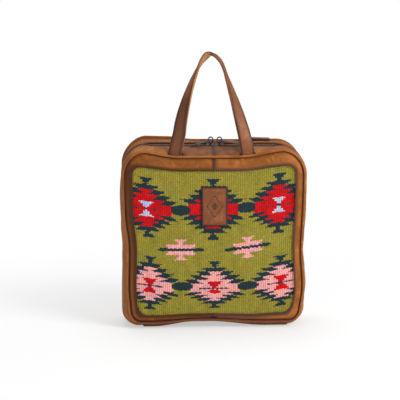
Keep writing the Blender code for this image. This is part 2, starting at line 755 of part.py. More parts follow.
def handle_path():
    """The strap's middle line: out of the front seam, up, over and down, leaning back over the zip."""
    half = HANDLE_SPREAD / 2
    foot_z = seam(top_station(HANDLE_CENTRE_X - half), "front").z
    shape = [(-1.0, -0.075), (-1.0, 0.0), (-1.0, 0.06), (-0.891, 0.21), (-0.856, 0.285)]
    shape += [(-0.813, 0.36), (-0.759, 0.435), (-0.699, 0.51), (-0.627, 0.59), (-0.548, 0.665)]
    shape += [(-0.463, 0.74), (-0.366, 0.815), (-0.263, 0.883), (-0.170, 0.926), (-0.080, 0.953)]
    shape += [(0.022, 0.964), (0.124, 0.953), (0.218, 0.926), (0.318, 0.880), (0.393, 0.815)]
    shape += [(0.463, 0.74), (0.534, 0.665), (0.602, 0.59), (0.676, 0.51), (0.740, 0.435)]
    shape += [(0.800, 0.36), (0.856, 0.285), (0.912, 0.21), (1.0, 0.06), (1.0, 0.0), (1.0, -0.075)]
    knots = [Vector((HANDLE_CENTRE_X + half * x, 0, foot_z + HANDLE_RISE * rise)) for x, rise in shape]
    points = []
    spans = len(knots) - 1
    for index in range(HANDLE_STATIONS + 1):
        where = spans * index / HANDLE_STATIONS
        span = min(int(where), spans - 1)
        t = where - span
        before = knots[max(span - 1, 0)]
        here, there = knots[span], knots[span + 1]
        after = knots[min(span + 2, spans)]
        spot = here * 2 + (there - before) * t + (before * 2 - here * 5 + there * 4 - after) * t**2
        spot = (spot + (here * 3 - before - there * 3 + after) * t**3) / 2
        rise = max(spot.z - foot_z - HANDLE_EXIT, 0.0)
        back = math.tan(HANDLE_LEAN) * rise * rise / (rise + HANDLE_BEND)
        points.append(Vector((spot.x, foot_y() + back, spot.z)))
    return points, foot_z


def foot_y():
    """The middle of the strap's feet, just behind the piping."""
    return -HALF_DEPTH + PIPING_RADIUS + GAP + HANDLE_PLY / 2


def build_handle():
    """One flat strap, face-on at its feet and turned edge-on at the top."""
    points, foot_z = handle_path()
    wide = HANDLE_WIDTH / 2
    thick = HANDLE_PLY / 2
    outline = [(wide, 0.45), (wide * 0.88, 1), (-wide * 0.88, 1), (-wide, 0.45)]
    outline += [(-wide, -0.45), (-wide * 0.88, -1), (wide * 0.88, -1), (wide, -0.45)]
    rings = []
    for index, point in enumerate(points):
        ahead = points[min(index + 1, len(points) - 1)]
        behind = points[max(index - 1, 0)]
        tangent = (ahead - behind).normalized()
        front = Vector((0, -1, 0))
        front = (front - tangent * front.dot(tangent)).normalized()
        outward = -tangent.cross(front)
        turn = strap_turn(point, foot_z)
        face = front * math.cos(turn) + outward * math.sin(turn)
        across = tangent.cross(face)
        rings.append([point + across * a + face * (b * thick) for a, b in outline])
    swept("handle", rings, LOOKS["leather_dark"])
    for side in (-1, 1):
        notch_feet(side)


def strap_turn(point, foot_z):
    """How far the strap's face has turned outwards from the front, with the extra twist at its crest."""
    turned = HANDLE_TURN * min(max((point.z - foot_z - HANDLE_EXIT) / HANDLE_TWIST_RISE, 0.0), 1.0)
    reach = CREST_LEFT_REACH if point.x < CREST_X else CREST_RIGHT_REACH
    crest = math.exp(-(((point.x - CREST_X) / reach) ** 2))
    return turned + CREST_TURN * crest * ease(point.z - foot_z, HANDLE_TWIST_RISE, HANDLE_RISE * 0.9)


def notch_feet(side):
    """A notch in the front strip's edge for each foot of the strap."""
    reach = HANDLE_WIDTH / 2 + GAP
    centre = HANDLE_CENTRE_X + side * HANDLE_SPREAD / 2
    front = -HALF_DEPTH
    back = foot_y() + HANDLE_PLY / 2 + GAP
    low = (centre - reach, front, ZIP_HEIGHT - NOTCH_BELOW)
    high = (centre + reach, back, ZIP_HEIGHT + NOTCH_ABOVE)
    name = "left" if side < 0 else "right"
    cut(bpy.data.objects[f"gusset_front_{name}"], box_between(f"foot_notch_{name}", low, high))


def build_tab():
    """A short flat tab on the rear strip, sewn down at its outer end and standing a little proud inside."""
    steps = 4
    rings = []
    for step in range(steps + 1):
        x = TAB_START_X + TAB_LENGTH * step / steps
        crest = max(skin(top_station(x), TAB_START_Y + TAB_WIDTH * part / 4).z for part in range(5))
        low = crest + GAP + TAB_LIFT * (1 - step / steps) ** 2
        section = ((0.0, 0.0), (TAB_WIDTH, 0.0), (TAB_WIDTH, TAB_PLY), (0.0, TAB_PLY))
        rings.append([Vector((x, TAB_START_Y + y, low + z)) for y, z in section])
    swept("rear_tab", rings, LOOKS["leather_dark"])


for old in list(bpy.data.objects):
    bpy.data.objects.remove(old)

LOOKS = {
    "leather": material("tan leather", (0.36, 0.14, 0.045), 0.45),
    "leather_dark": material("burnished leather", (0.20, 0.075, 0.03), 0.45),
    "cloth": material("olive flatweave", (0.33, 0.30, 0.06), 0.95),
    "lining": material("lining cloth", (0.10, 0.08, 0.06), 0.9),
    "tape": material("zip tape", (0.05, 0.03, 0.025), 0.9),
    "teeth": material("zip teeth metal", (0.16, 0.13, 0.11), 0.35, 1.0),
    "steel": material("gunmetal", (0.12, 0.11, 0.11), 0.3, 1.0),
}

build_frames()
build_woven_panel()
build_patch()
build_piping()
build_gusset()
build_zip()
build_linings()
build_faces()
build_sliders()
build_handle()
build_tab()
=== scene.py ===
"""A tan leather toiletry bag with a woven front window, a zip round its gusset and one strap handle.

Metres throughout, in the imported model's own frame: +Z up, the woven window faces -Y.
"""

import math

import bmesh
import bpy
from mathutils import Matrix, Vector, noise


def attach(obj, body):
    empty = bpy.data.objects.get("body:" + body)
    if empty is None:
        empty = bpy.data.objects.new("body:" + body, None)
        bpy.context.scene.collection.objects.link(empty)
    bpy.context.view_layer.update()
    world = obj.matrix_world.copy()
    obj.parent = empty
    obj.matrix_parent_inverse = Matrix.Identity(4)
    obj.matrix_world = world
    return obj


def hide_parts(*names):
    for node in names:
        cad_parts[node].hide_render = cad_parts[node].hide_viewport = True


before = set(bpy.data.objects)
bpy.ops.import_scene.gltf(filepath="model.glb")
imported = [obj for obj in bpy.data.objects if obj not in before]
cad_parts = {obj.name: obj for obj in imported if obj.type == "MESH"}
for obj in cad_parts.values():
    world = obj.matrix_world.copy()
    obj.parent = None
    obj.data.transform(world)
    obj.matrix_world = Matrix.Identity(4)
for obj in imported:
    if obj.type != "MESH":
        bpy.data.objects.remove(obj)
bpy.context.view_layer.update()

# The woven window is a wool flatweave. The weft is beaten down so tightly over the upright warps that only
# beads of weft show, in ribs; its serrated diamonds are woven in as the colours change from rib to rib.
BODY_WIDTH = 0.254
ZIP_HEIGHT = 0.2485
HALF_DEPTH = 0.0345
TOP_CORNER, BASE_CORNER = 0.038, 0.023
SIDE_BULGE, TOP_BULGE, BASE_BULGE = 0.0050, 0.0040, 0.0085
WINDOW_WIDTH, WINDOW_FOOT, WINDOW_TOP = 0.2186, 0.0195, 0.2236
UNDERLAP, CLOTH_CORNER = 0.0045, 0.022
LEATHER_PLY, CLOTH_PLY, GAP = 0.0018, 0.0016, 0.0003
RIBS, RIB_DEPTH, BEAD_ROWS, BEAD_DEPTH = 78, 0.0006, 350, 0.00025
RIB = (WINDOW_WIDTH + 2 * UNDERLAP) / RIBS

# how the filled bag has settled: its top's sag, its base's arch, its waist, the swell and the tucks below
# the waist, and its top's slant
SAG = {"front": 0.0088, "middle": 0.0, "rear": 0.0010}
ARCH = {"front": 0.0037, "middle": 0.0065, "rear": 0.0037}
SAG_CENTRE, ARCH_CENTRE = -0.005, -0.016
DRAWN_IN, WAIST, LOW_SWELL = 0.0020, 0.0014, 0.0024
CORNER_TUCK, LEFT_TUCK, SHOULDER_TUCK = 0.0040, 0.0024, 0.0026
TOP_SLANT, REAR_LIFT, REAR_LEFT_LIFT = -0.010, 0.0055, 0.0035


def ease(value, start, end):
    """0 at start, 1 at end, level at both."""
    share = min(max((value - start) / (end - start), 0.0), 1.0)
    return share * share * (3 - 2 * share)


def hump(value, centre, width):
    """1 at the centre, falling away on both sides over about this width."""
    return math.exp(-(((value - centre) / width) ** 2))


def settled(x, z, face):
    """Where a point of the crisp square lies once the soft bag has sagged: x and z."""
    waist = DRAWN_IN * (1 - ease(z, 0.110, 0.200)) + WAIST * hump(z, 0.105, 0.035)
    swell = LOW_SWELL * (0.5 + x / BODY_WIDTH) * hump(z, 0.058, 0.030)
    across = x * (1 - (waist - swell) / (BODY_WIDTH / 2))
    if face == "front":
        tuck = ease(abs(x), BODY_WIDTH / 2 - 0.042, BODY_WIDTH / 2) * hump(z, 0.012, 0.028)
        across -= math.copysign(CORNER_TUCK * tuck, x)
        across += LEFT_TUCK * ease(-x, 0.060, 0.110) * (1 - ease(z, 0.115, 0.155))
    if face == "middle":
        across += SHOULDER_TUCK * ease(-x, 0.093, 0.124) * ease(z, 0.175, 0.210)
    sagging = 1 - ease(abs(across - SAG_CENTRE), 0.040, 0.105)
    arching = 1 - ease(abs(across - ARCH_CENTRE), 0.010, 0.066 if across < ARCH_CENTRE else 0.088)
    up = z - SAG[face] * sagging * math.exp((z - ZIP_HEIGHT + TOP_BULGE) / 0.070)
    up += ARCH[face] * arching * math.exp(-max(z - BASE_BULGE, 0.0) / 0.020)
    lift = 0.0 if face == "front" else TOP_SLANT * x
    if face == "rear":
        lift += REAR_LIFT + REAR_LEFT_LIFT * ease(-x, 0.025, 0.060) * (1 - ease(-x, 0.090, 0.125))
    return across, up + lift * ease(z, 0.120, 0.200)


def seam_inset(x, z):
    """How far inside the seam a point of the crisp front lies."""
    half_width = BODY_WIDTH / 2 - SIDE_BULGE
    foot, top = BASE_BULGE, ZIP_HEIGHT - TOP_BULGE
    middle = (foot + top) / 2
    radius = (TOP_CORNER if z > middle else BASE_CORNER) - SIDE_BULGE
    past_x = abs(x) - half_width + radius
    past_z = abs(z - middle) - (top - foot) / 2 + radius
    return radius - math.hypot(max(past_x, 0.0), max(past_z, 0.0)) - min(max(past_x, past_z), 0.0)


CUSHION, CUSHION_START, CUSHION_END, CROWN, CROWN_REACH = 0.0036, 0.0023, 0.0068, 0.0030, 0.090


def face_depth(inset):
    """How far the front or rear leather stands out from the middle plane, this far in from the seam."""
    risen = CUSHION * ease(inset, CUSHION_START, CUSHION_END) + CROWN * ease(inset, 0.0, CROWN_REACH)
    return HALF_DEPTH + 0.0001 + risen


def cloth_spot(x, z, sunk):
    """A point of the front, sunk behind the leather's surface."""
    across, up = settled(x, z, "front")
    return Vector((across, sunk - face_depth(seam_inset(x, z)), up))


OLIVE, TEAL, RED = (0.29, 0.245, 0.035), (0.014, 0.034, 0.045), (0.58, 0.003, 0.010)
PINK, PALE_BLUE, CREAM = (0.84, 0.37, 0.36), (0.46, 0.54, 0.78), (0.80, 0.58, 0.52)

# a diamond's centre x and z, its slant, its level heights above and below the centre, its field colour
DIAMONDS = [(-0.0920, 0.1674, -0.07, 0.0072, 0.0065, RED), (-0.0015, 0.1685, 0.0, 0.0072, 0.0073, RED)]
DIAMONDS += [(0.0876, 0.1710, 0.06, 0.0072, 0.0065, RED), (-0.0904, 0.0616, -0.12, 0.0067, 0.0056, PINK)]
DIAMONDS += [(0.0007, 0.0565, 0.0, 0.0064, 0.0048, PINK), (0.0920, 0.0636, 0.14, 0.0062, 0.0055, PINK)]
# the dark ovals that link them: centre x and z, slant, half length in ribs, half height
LINKS = [(-0.0455, 0.1672, -0.03, 4.8, 0.0076), (0.0437, 0.1705, 0.05, 4.5, 0.0076)]
LINKS += [(-0.0437, 0.0598, -0.05, 5.1, 0.0062), (0.0459, 0.0601, 0.08, 5.0, 0.0062)]
BARS = [(-0.0464, 0.1115, 0.0), (0.0464, 0.1142, 0.12)]
# each level widens away from the centre to a tip, then steps in: levels, tips and the width after each step
FIELD_LEVELS, EDGE_LEVELS = (0.0, 1.08, 1.93, 2.87, 3.75), (1.08, 2.05, 2.95, 3.80, 4.62)
FIELD_TIPS, FIELD_STEPS = (11.7, 9.2, 6.4, 3.6), (11.7, 5.2, 2.7, 1.1)
EDGE_TIPS, EDGE_STEPS = (14.8, 12.0, 9.3, 6.2), (11.3, 9.0, 6.3, 3.7)
# the finial above and below: its neck's top level, its head's top level, and the head's half width in ribs
NECK_TOP, HEAD_TOP, HEAD_FOOT_WIDTH, HEAD_SPREAD = 4.9, 6.0, 0.7, 2.6
# the figures inside: the thin line's half height, and where each figure starts and ends above the centre
PINK_LINE, PINK_RISE, RED_LINE, RED_TOP, CREAM_FOOT = 0.0009, 0.0090, 0.0014, 0.0102, 0.0088
# the crosses between: the dark bar's half lengths in ribs and half heights, then the pink arms and posts
BAR_BODY, BAR_TIP, BAR_HEIGHT, BAR_END_HEIGHT, BAR_ZIGZAG = 7, 11.2, 0.0019, 0.0024, 0.0005
ARM_HEIGHT, POST_FOOT, POST_TOP = 0.0074, 0.0095, 0.0146


def saw(level, levels, tips, steps):
    """A saw-toothed half width: at each of the levels it steps in and widens again to the next tip."""
    for tooth, (tip, step) in enumerate(zip(tips, steps)):
        if levels[tooth] <= level < levels[tooth + 1]:
            return step + (tip - step) * (level - levels[tooth]) / (levels[tooth + 1] - levels[tooth])
    return 0.0


def diamond_part(out, level):
    """Where a bead so many ribs out and levels up lies: a diamond's field, its dark teeth or neither."""
    if out < saw(level, FIELD_LEVELS, FIELD_TIPS, FIELD_STEPS):
        return "field"
    if out < saw(level, EDGE_LEVELS, EDGE_TIPS, EDGE_STEPS):
        return "edge"
    if EDGE_LEVELS[-1] <= level < NECK_TOP:
        return "edge" if out < 1.0 else None
    head = HEAD_FOOT_WIDTH + HEAD_SPREAD * (level - NECK_TOP) / (HEAD_TOP - NECK_TOP)
    return "edge" if NECK_TOP <= level < HEAD_TOP and out < head else None


def motif_colour(out, height, field, middle):
    """The small figure in a diamond's middle: an hourglass on a thin dark line."""
    rise = abs(height)
    if field is PINK:
        if rise < PINK_LINE:
            return TEAL if out < 6.8 else None
        share = (rise - PINK_LINE) / PINK_RISE
        width = 0.6 + 3.1 * share**0.75
        if middle and height < 0:
            share = (rise - 2 * PINK_LINE) / 0.0062
            width = 2.8 * math.sin(math.pi * (0.14 + 0.72 * share))
        return RED if 0 < share < 1 and out < width else None
    if rise < RED_LINE and (out < 0.7 or (2.6 < out < 6.4 and rise < RED_LINE / 2)):
        return TEAL
    if middle or not RED_LINE < rise < RED_TOP:
        return None
    if rise > CREAM_FOOT and 2.0 < out < 3.4:
        return CREAM
    return PALE_BLUE if out < 0.4 + 2.4 * (rise - RED_LINE) / (RED_TOP - RED_LINE) else None


def weft_colour(x, z, bead):
    """The colour of a bead of weft at this place of the cloth."""
    for link_x, link_z, slope, half_length, half_height in LINKS:
        across, up = (x - link_x) / (half_length * RIB), (z - link_z - slope * (x - link_x)) / half_height
        if abs(across) ** 2.2 + abs(up) ** 2.2 < 1:
            return TEAL
    for centre_x, centre_z, slope, above, below, field in DIAMONDS:
        out = abs(x - centre_x) / RIB
        height = z - centre_z - slope * (x - centre_x)
        level = abs(height) / (above if height > 0 else below)
        feathered = max(out + 0.35 * (bead * 2 % 3 - 1), 0.1)
        part = diamond_part(feathered, level)
        if part == "edge":
            return TEAL
        if part == "field":
            return motif_colour(out, height, field, abs(centre_x) < 0.01) or field
    for centre_x, centre_z, slope in BARS:
        out = abs(x - centre_x) / RIB
        height = z - centre_z - slope * (x - centre_x)
        if out < BAR_BODY:
            bar, zigzag = BAR_HEIGHT, BAR_ZIGZAG * (-1) ** math.floor(x / RIB)
        else:
            bar, zigzag = BAR_END_HEIGHT - 0.0008 * max(out - 9.5, 0.0), 0.0
        if abs(height + zigzag) < bar and out < BAR_TIP:
            return TEAL
        height = abs(height)
        arm = 5.7 + 1.9 * (height / ARM_HEIGHT) ** 2
        post = 1.1 + 2.0 * max(height - POST_FOOT, 0.0) / (POST_TOP - POST_FOOT)
        if out < (arm if height < ARM_HEIGHT else post) and height < POST_TOP:
            return PINK
    return OLIVE


def skinned(name, rings, look=None, closed=False, crease=50, weft=None):
    """A closed skin through rings of points, each with how dark it is rubbed and painted in shade; the cloth
    has weft colours.
    """
    count = len(rings[0])
    faces = []
    for index in range(len(rings) if closed else len(rings) - 1):
        here, there = index * count, (index + 1) % len(rings) * count
        for corner in range(count):
            beside = (corner + 1) % count
            faces.append((here + corner, here + beside, there + beside, there + corner))
    if not closed:
        faces.append(tuple(range(count)))
        faces.append(tuple(range((len(rings) - 1) * count, len(rings) * count)))
    mesh = bpy.data.meshes.new(name)
    mesh.from_pydata([spot for ring in rings for spot, dark in ring], [], faces)
    if weft:
        mesh.attributes.new("weft", "FLOAT_COLOR", "CORNER").data.foreach_set("color", weft)
    else:
        rub_and_painted_shading = [dark for ring in rings for spot, dark in ring]
        mesh.attributes.new("rub_and_painted_shading", "FLOAT", "POINT").data.foreach_set("value", rub_and_painted_shading)
    shape = bmesh.new()
    shape.from_mesh(mesh)
    bmesh.ops.recalc_face_normals(shape, faces=shape.faces)
    shape.to_mesh(mesh)
    shape.free()
    mesh.shade_smooth()
    mesh.set_sharp_from_angle(angle=math.radians(crease))
    if look:
        mesh.materials.append(look.material)
    return placed(name, mesh)


def placed(name, data):
    """A new object, in the scene."""
    made = bpy.data.objects.new(name, data)
    bpy.context.scene.collection.objects.link(made)
    return made


def build_cloth():
    """The cloth as a closed sheet: three columns to each rib and two rows to each bead of weft."""
    half_width = WINDOW_WIDTH / 2 + UNDERLAP
    sunk = LEATHER_PLY + GAP
    # each rib's crease column is painted darker as shade, its crown a touch lighter as painted light
    painted_crease_shade, painted_crown_light = 0.66, 1.04
    rings, heights = [], []
    for column in range(3 * RIBS + 1):
        x = -half_width + RIB * column / 3
        rib, step = divmod(column, 3)
        past = max(abs(x) - half_width + CLOTH_CORNER, 0.0)
        short = CLOTH_CORNER - math.sqrt(max(CLOTH_CORNER**2 - past**2, 0.0))
        low, high = WINDOW_FOOT - UNDERLAP + short, WINDOW_TOP + UNDERLAP - short
        levels = [low + (high - low) * row / BEAD_ROWS for row in range(BEAD_ROWS + 1)]
        heights.append(levels)
        ring = []
        for row, z in enumerate(levels):
            crease = RIB_DEPTH if step == 0 else BEAD_DEPTH * ((row + rib) % 2)
            ring.append((cloth_spot(x, z, sunk + crease), 0.0))
        for share in (1.0, 0.93, 0.5, 0.07, 0.0):
            ring.append((cloth_spot(x, low + (high - low) * share, sunk + RIB_DEPTH + CLOTH_PLY), 0.0))
        rings.append(ring)
    colours = []
    for column in range(3 * RIBS):
        rib = column // 3
        x = -half_width + RIB * (rib + 0.5)
        for row in range(len(ring)):
            bead = (min(row, BEAD_ROWS) + rib % 2) // 2
            z = heights[column][min(max(2 * bead + 1 - rib % 2, 0), BEAD_ROWS)]
            red, green, blue = weft_colour(x, z, bead)
            spun = 1 + 0.36 * noise.noise((rib * 1.7, bead * 0.83, 3.1))
            spun += 0.16 * noise.noise((rib * 0.3, bead * 0.05, 9.0))
            tinge = noise.noise((rib * 0.9, bead * 0.61, 27.3))
            tinge += 0.5 * noise.noise((rib * 0.15, bead * 0.2, 5.0))
            for near in (column, column, column + 1, column + 1):
                # the yarn's own spun tone, times the painted shade of a crease column and the painted light
                # of a crown column
                spun_and_painted_shade = spun * (painted_crease_shade if near % 3 == 0 else painted_crown_light)
                warm, cool = spun_and_painted_shade * (1 + 0.22 * tinge), spun_and_painted_shade * (1 - 0.35 * tinge)
                colours += [red * warm + 0.004 * spun, green * spun_and_painted_shade + 0.003 * spun, blue * cool, 1.0]
    colours += [*OLIVE, 1.0] * (2 * len(ring))
    return skinned("woven_cloth", rings, wool, crease=180, weft=colours)


def found(sockets, key):
    """A node's socket by its number, or by its name among those in use."""
    if isinstance(key, int):
        return sockets[key]
    return next(s for s in sockets if key in (s.identifier, s.name) and s.enabled)


def feed(tree, socket, value):
    """Links a socket to another node's output, or sets it to a value."""
    value = getattr(value, "socket", value)
    if isinstance(value, bpy.types.NodeSocket):
        tree.links.new(value, socket)
    else:
        socket.default_value = (*value, 1.0) if socket.type == "RGBA" else value


def added(tree, kind, settings, values, output=0):
    """Adds a node to a tree, sets it, feeds its sockets, and gives back the output asked for."""
    made = tree.nodes.new(kind)
    for key, value in settings.items():
        setattr(made, key, value)
    for key, value in values.items():
        feed(tree, found(made.inputs, key), value)
    return found(made.outputs, output)


class Wire:
    """One value of a finish: the signs between such values become its maths."""

    def __init__(self, look, socket):
        self.look, self.socket = look, socket

    def maths(self, operation, *values):
        return self.look.node("Math", {"operation": operation}, dict(enumerate(values)))

    def __add__(self, other):
        return self.maths("ADD", self, other)

    def __sub__(self, other):
        return self.maths("SUBTRACT", self, other)

    def __rsub__(self, other):
        return self.maths("SUBTRACT", other, self)

    def __mul__(self, other):
        return self.maths("MULTIPLY", self, other)

    __radd__ = __add__

    def between(self, low, high):
        """0 below low, 1 above high, eased between."""
        settings = {"interpolation_type": "SMOOTHSTEP", "clamp": True}
        return self.look.node("MapRange", settings, {"Value": self, "From Min": low, "From Max": high})


class Look:
    """One finish of the bag."""

    def __init__(self, name, roughness=0.5, metallic=0.0, shine=0.5):
        self.material = bpy.data.materials.new(name)
        self.material.use_nodes = True
        self.tree = self.material.node_tree
        self.shader = self.tree.nodes["Principled BSDF"]
        self.wear({"Roughness": roughness, "Metallic": metallic, "Specular IOR Level": shine})
        self.place = self.node("TexCoord", {}, {}, "Object")

    def node(self, kind, settings, values, output=0):
        """Adds a node to the finish."""
        return Wire(self, added(self.tree, f"ShaderNode{kind}", settings, values, output))

    def wear(self, values):
        """Feeds the shader's own sockets."""
        for key, value in values.items():
            feed(self.tree, self.shader.inputs[key], value)

    def cloud(self, scale, detail=3.0, stretch=None, warp=0.0):
        """Soft noise of this many features a metre, stretched along an axis if asked."""
        place = self.place
        if stretch:
            place = self.node("Mapping", {}, {"Vector": place, "Scale": stretch}, "Vector")
        sockets = {"Vector": place, "Scale": scale, "Detail": detail, "Distortion": warp}
        return self.node("TexNoise", {}, sockets, "Fac")

    def darkness_rubbed_and_painted(self):
        """How dark the leather is rubbed and painted in shade, as stored on the piece's points; below 0 it
        is painted light.
        """
        return self.node("Attribute", {"attribute_name": "rub_and_painted_shading"}, {}, "Fac")

    def blend(self, first, second, share, mode="MIX"):
        """Two colours mixed by a share."""
        sockets = {"Factor_Float": share, "A_Color": first, "B_Color": second}
        return self.node("Mix", {"data_type": "RGBA", "blend_type": mode}, sockets, "Result_Color")

    def relief(self, *layers):
        """One bump of several layers: each is a height and its depth in metres."""
        height = sum((layer * depth for layer, depth in layers[1:]), layers[0][0] * layers[0][1])
        self.wear({"Normal": self.node("Bump", {}, {"Height": height, "Distance": 1.0, "Strength": 1.0})})


wool = Look("wool weft", shine=0.12)
spun = wool.cloud(2600, 2.0, (1.0, 1.0, 0.35))
tuft = wool.cloud(900, 3.0)
weft = wool.node("Attribute", {"attribute_name": "weft"}, {}, "Color")
shade = wool.blend((0.66, 0.66, 0.66), (1.22, 1.22, 1.22), spun.between(0.25, 0.75))
wool.wear({"Base Color": wool.blend(weft, shade, 0.85, "MULTIPLY"), "Roughness": 0.86 + tuft * 0.12})
wool.relief((spun, 0.00018), (tuft, 0.00022))

cloth = build_cloth()
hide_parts("woven_panel")
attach(cloth, "bag")

# The front frame is two C-shaped pieces of waxed tan leather round the window, edges turned under, joined at
# the top and bottom centre. Its edges and the leather by the seams are rubbed dark by hand. Its left half
# and left side are painted darker as shade, and it is darker along the bottom.
STEPS = (44, 24, 60, 20, 40)
PIPING_RADIUS = 0.0020
WINDOW_CORNER, WINDOW_FOOT_CORNER, WINDOW_LIFT = 0.011, 0.0155, 0.0022


def rounded_half(half_width, foot, top, top_radius, foot_radius):
    """Points and outward normals down the right half of a round-cornered square, from the top centre."""
    start, (high_x, high_z) = GAP / 2, (half_width - top_radius, top - top_radius)
    low_x, low_z = half_width - foot_radius, foot + foot_radius
    # each run's first and last centre, its first and last angle, and its radius; the last run keeps its end
    runs = [((start, top), (high_x, top), 90, 90, 0),
            ((high_x, high_z), (high_x, high_z), 90, 0, top_radius),
            ((half_width, high_z), (half_width, low_z), 0, 0, 0),
            ((low_x, low_z), (low_x, low_z), 0, -90, foot_radius),
            ((low_x, foot), (start, foot), -90, -90, 0)]
    points = []
    for steps, ((x, z), (end_x, end_z), angle, end_angle, radius) in zip(STEPS, runs):
        for step in range(steps + (end_x == start)):
            share = step / steps
            turned = math.radians(angle + (end_angle - angle) * share)
            normal = Vector((math.cos(turned), 0, math.sin(turned)))
            centre = Vector((x + (end_x - x) * share, 0, z + (end_z - z) * share))
            points.append((centre + normal * radius, normal))
    return points


def mirrored(half):
    """The same stations on the left."""
    return [(Vector((-p.x, p.y, p.z)), Vector((-n.x, n.y, n.z))) for p, n in half]


def bulge(normal):
    """How far the seams lie inside the zip's line."""
    up, down = max(normal.z, 0.0) ** 2, max(-normal.z, 0.0) ** 2
    return SIDE_BULGE + (TOP_BULGE - SIDE_BULGE) * up + (BASE_BULGE - SIDE_BULGE) * down


def front_at(spot, y):
    """The settled front point over a crisp one, at depth y."""
    x, z = settled(spot.x, spot.z, "front")
    return Vector((x, y, z))


def seam(station, face):
    """The seam line of a face at a station."""
    point, normal = station
    inside = point - normal * bulge(normal)
    across, up = settled(inside.x, inside.z, face)
    return Vector((across, 0, up))


def rumple(spot, size, height):
    """A soft unevenness of the hide, with dents of about this size."""
    return height * noise.noise(Vector(spot) / size)


# the gold of painted light, for leather turned toward the key light
PAINTED_LIGHT_GOLD = (0.42, 0.225, 0.080)


def hide(name, lit, worn, dark, polish=0.50):
    """Waxed leather, clouded between two tans: rubbed dark and painted in shade where the piece says,
    painted light in gold where that is below 0.
    """
    look = Look(name, shine=0.20)
    broad = look.cloud(19, 3.0, warp=0.5)
    mottle = look.cloud(88, 5.0, warp=0.9)
    flecks = look.cloud(430, 3.0)
    tone = broad * 0.55 + mottle * 0.45
    tan = look.blend(worn, lit, tone.between(0.36, 0.64))
    tan = look.blend(tan, tuple(v * 1.4 for v in lit), mottle.between(0.56, 0.72) * 0.6)
    # painted light: where the darkness is below 0 the leather goes toward the painted-light gold
    tan = look.blend(tan, PAINTED_LIGHT_GOLD, look.darkness_rubbed_and_painted().between(-0.1, -0.9))
    tan = look.blend(tan, worn, flecks.between(0.52, 0.70) * 0.4)
    # how dark: the rubbing and the painted shade, broken up by the mottling
    edge = (look.darkness_rubbed_and_painted() + (mottle - 0.5) * 0.6 + (broad - 0.5) * 0.5).between(0.15, 1.05)
    tan = look.blend(tan, dark, edge)
    look.wear({"Base Color": tan, "Roughness": polish + flecks * 0.16 - edge * 0.10})
    pebbles = {"Vector": look.place, "Scale": 1100.0, "Randomness": 0.9}
    cells = look.node("TexVoronoi", {"feature": "F1"}, pebbles, "Distance")
    creases = look.cloud(330, 4.0, (1.0, 1.0, 0.5))
    look.relief((1 - cells, 0.00006), (creases, 0.00016), (mottle, 0.0003))
    return look


tan_hide = hide("waxed tan hide", (0.38, 0.124, 0.020), (0.22, 0.067, 0.010), (0.082, 0.030, 0.022))
# a darker copy of the tan hide, for the frame's left half: painted shade
painted_shade_hide = hide("waxed hide in painted shade", (0.28, 0.087, 0.012), (0.165, 0.048, 0.007), (0.063, 0.019, 0.005))


def lifted(station):
    """A station of the window, whose foot rises a little toward the right corner."""
    point, normal = station
    rise = WINDOW_LIFT * ease(point.x, 0.040, 0.100) * (1 - ease(point.z, 0.030, 0.060))
    return point + Vector((0, 0, rise)), normal


def joint(x):
    """1 at the centre, where the leather's two halves are joined, and 0 beside it."""
    return math.exp(-((x / 0.0036) ** 4))


RIGHT = rounded_half(BODY_WIDTH / 2, 0.0, ZIP_HEIGHT, TOP_CORNER, BASE_CORNER)
SIDES = {"left": mirrored(RIGHT), "right": RIGHT}
ROUND = RIGHT[:-1] + SIDES["left"][:0:-1]
WINDOW_RIGHT = rounded_half(WINDOW_WIDTH / 2, WINDOW_FOOT, WINDOW_TOP, WINDOW_CORNER, WINDOW_FOOT_CORNER)
WINDOW = {"left": mirrored(WINDOW_RIGHT), "right": [lifted(station) for station in WINDOW_RIGHT]}
FRAME_SHARES = (0.0, 0.04, 0.09, 0.15, 0.22, 0.30, 0.40, 0.50, 0.60, 0.70, 0.79, 0.86, 0.92, 0.96)
FRAME_SWELL, FRAME_DENTS, JOINT_RIDGE, JOINT_SEAM = 0.0010, 0.00022, 0.0003, 0.0026


def frame_ring(station, window):
    """The frame's section at a station: out of the groove, over the crown, turned under at the window."""
    point, normal = station
    start, turn = PIPING_RADIUS + GAP, LEATHER_PLY / 2
    outer = point - normal * (bulge(normal) + start)
    across = window[0] - outer
    length = across.length
    ring = []
    for share in FRAME_SHARES:
        inset = start + length * share
        spot = front_at(outer + across * share, 0.0) if share else seam(station, "front") - normal * start
        x, z = spot.x, spot.z
        loose = ease(share, 0.1, 0.35) * (1 - ease(share, 0.75, 0.95))
        swell = loose * (rumple((x, 0, z), 0.030, FRAME_SWELL) + rumple((x, 7, z), 0.009, FRAME_DENTS))
        # the dark band by the window is rubbed, wider along the top and bottom, and wider on the left side
        # as painted shade
        window_rub_and_painted_shade = 0.0052 + 0.0028 * ease(-normal.x, -0.2, 1.0) + 0.0012 * abs(normal.z)
        dark = max(0.8 - inset / 0.0060, 1.25 - (length - length * share) / window_rub_and_painted_shade, 0.0)
        dark = max(dark, 0.88 * joint(point.x), 1.15 * hump(abs(point.x), JOINT_SEAM, 0.0007))
        # painted shade down the left side; the frame is also darker along the bottom
        dark += 0.34 * ease(-normal.x, 0.2, 1.0) + 0.18 * ease(-normal.z, 0.5, 0.95)
        ring.append((Vector((x, -face_depth(inset) - swell + JOINT_RIDGE * joint(point.x), z)), dark))
    inward, lip_depth = across.normalized(), face_depth(start + length)
    for angle in range(0, 181, 30):
        lean = math.radians(angle)
        spot = window[0] + inward * (turn * (math.sin(lean) - 1))
        ring.append((front_at(spot, turn * (1 - math.cos(lean)) - lip_depth), 1.0))
    for share in (0.7, 0.4, 0.1, 0.0):
        depth = LEATHER_PLY - face_depth(start + length * share)
        ring.append((front_at(outer + across * share, depth), 0.5))
    return ring


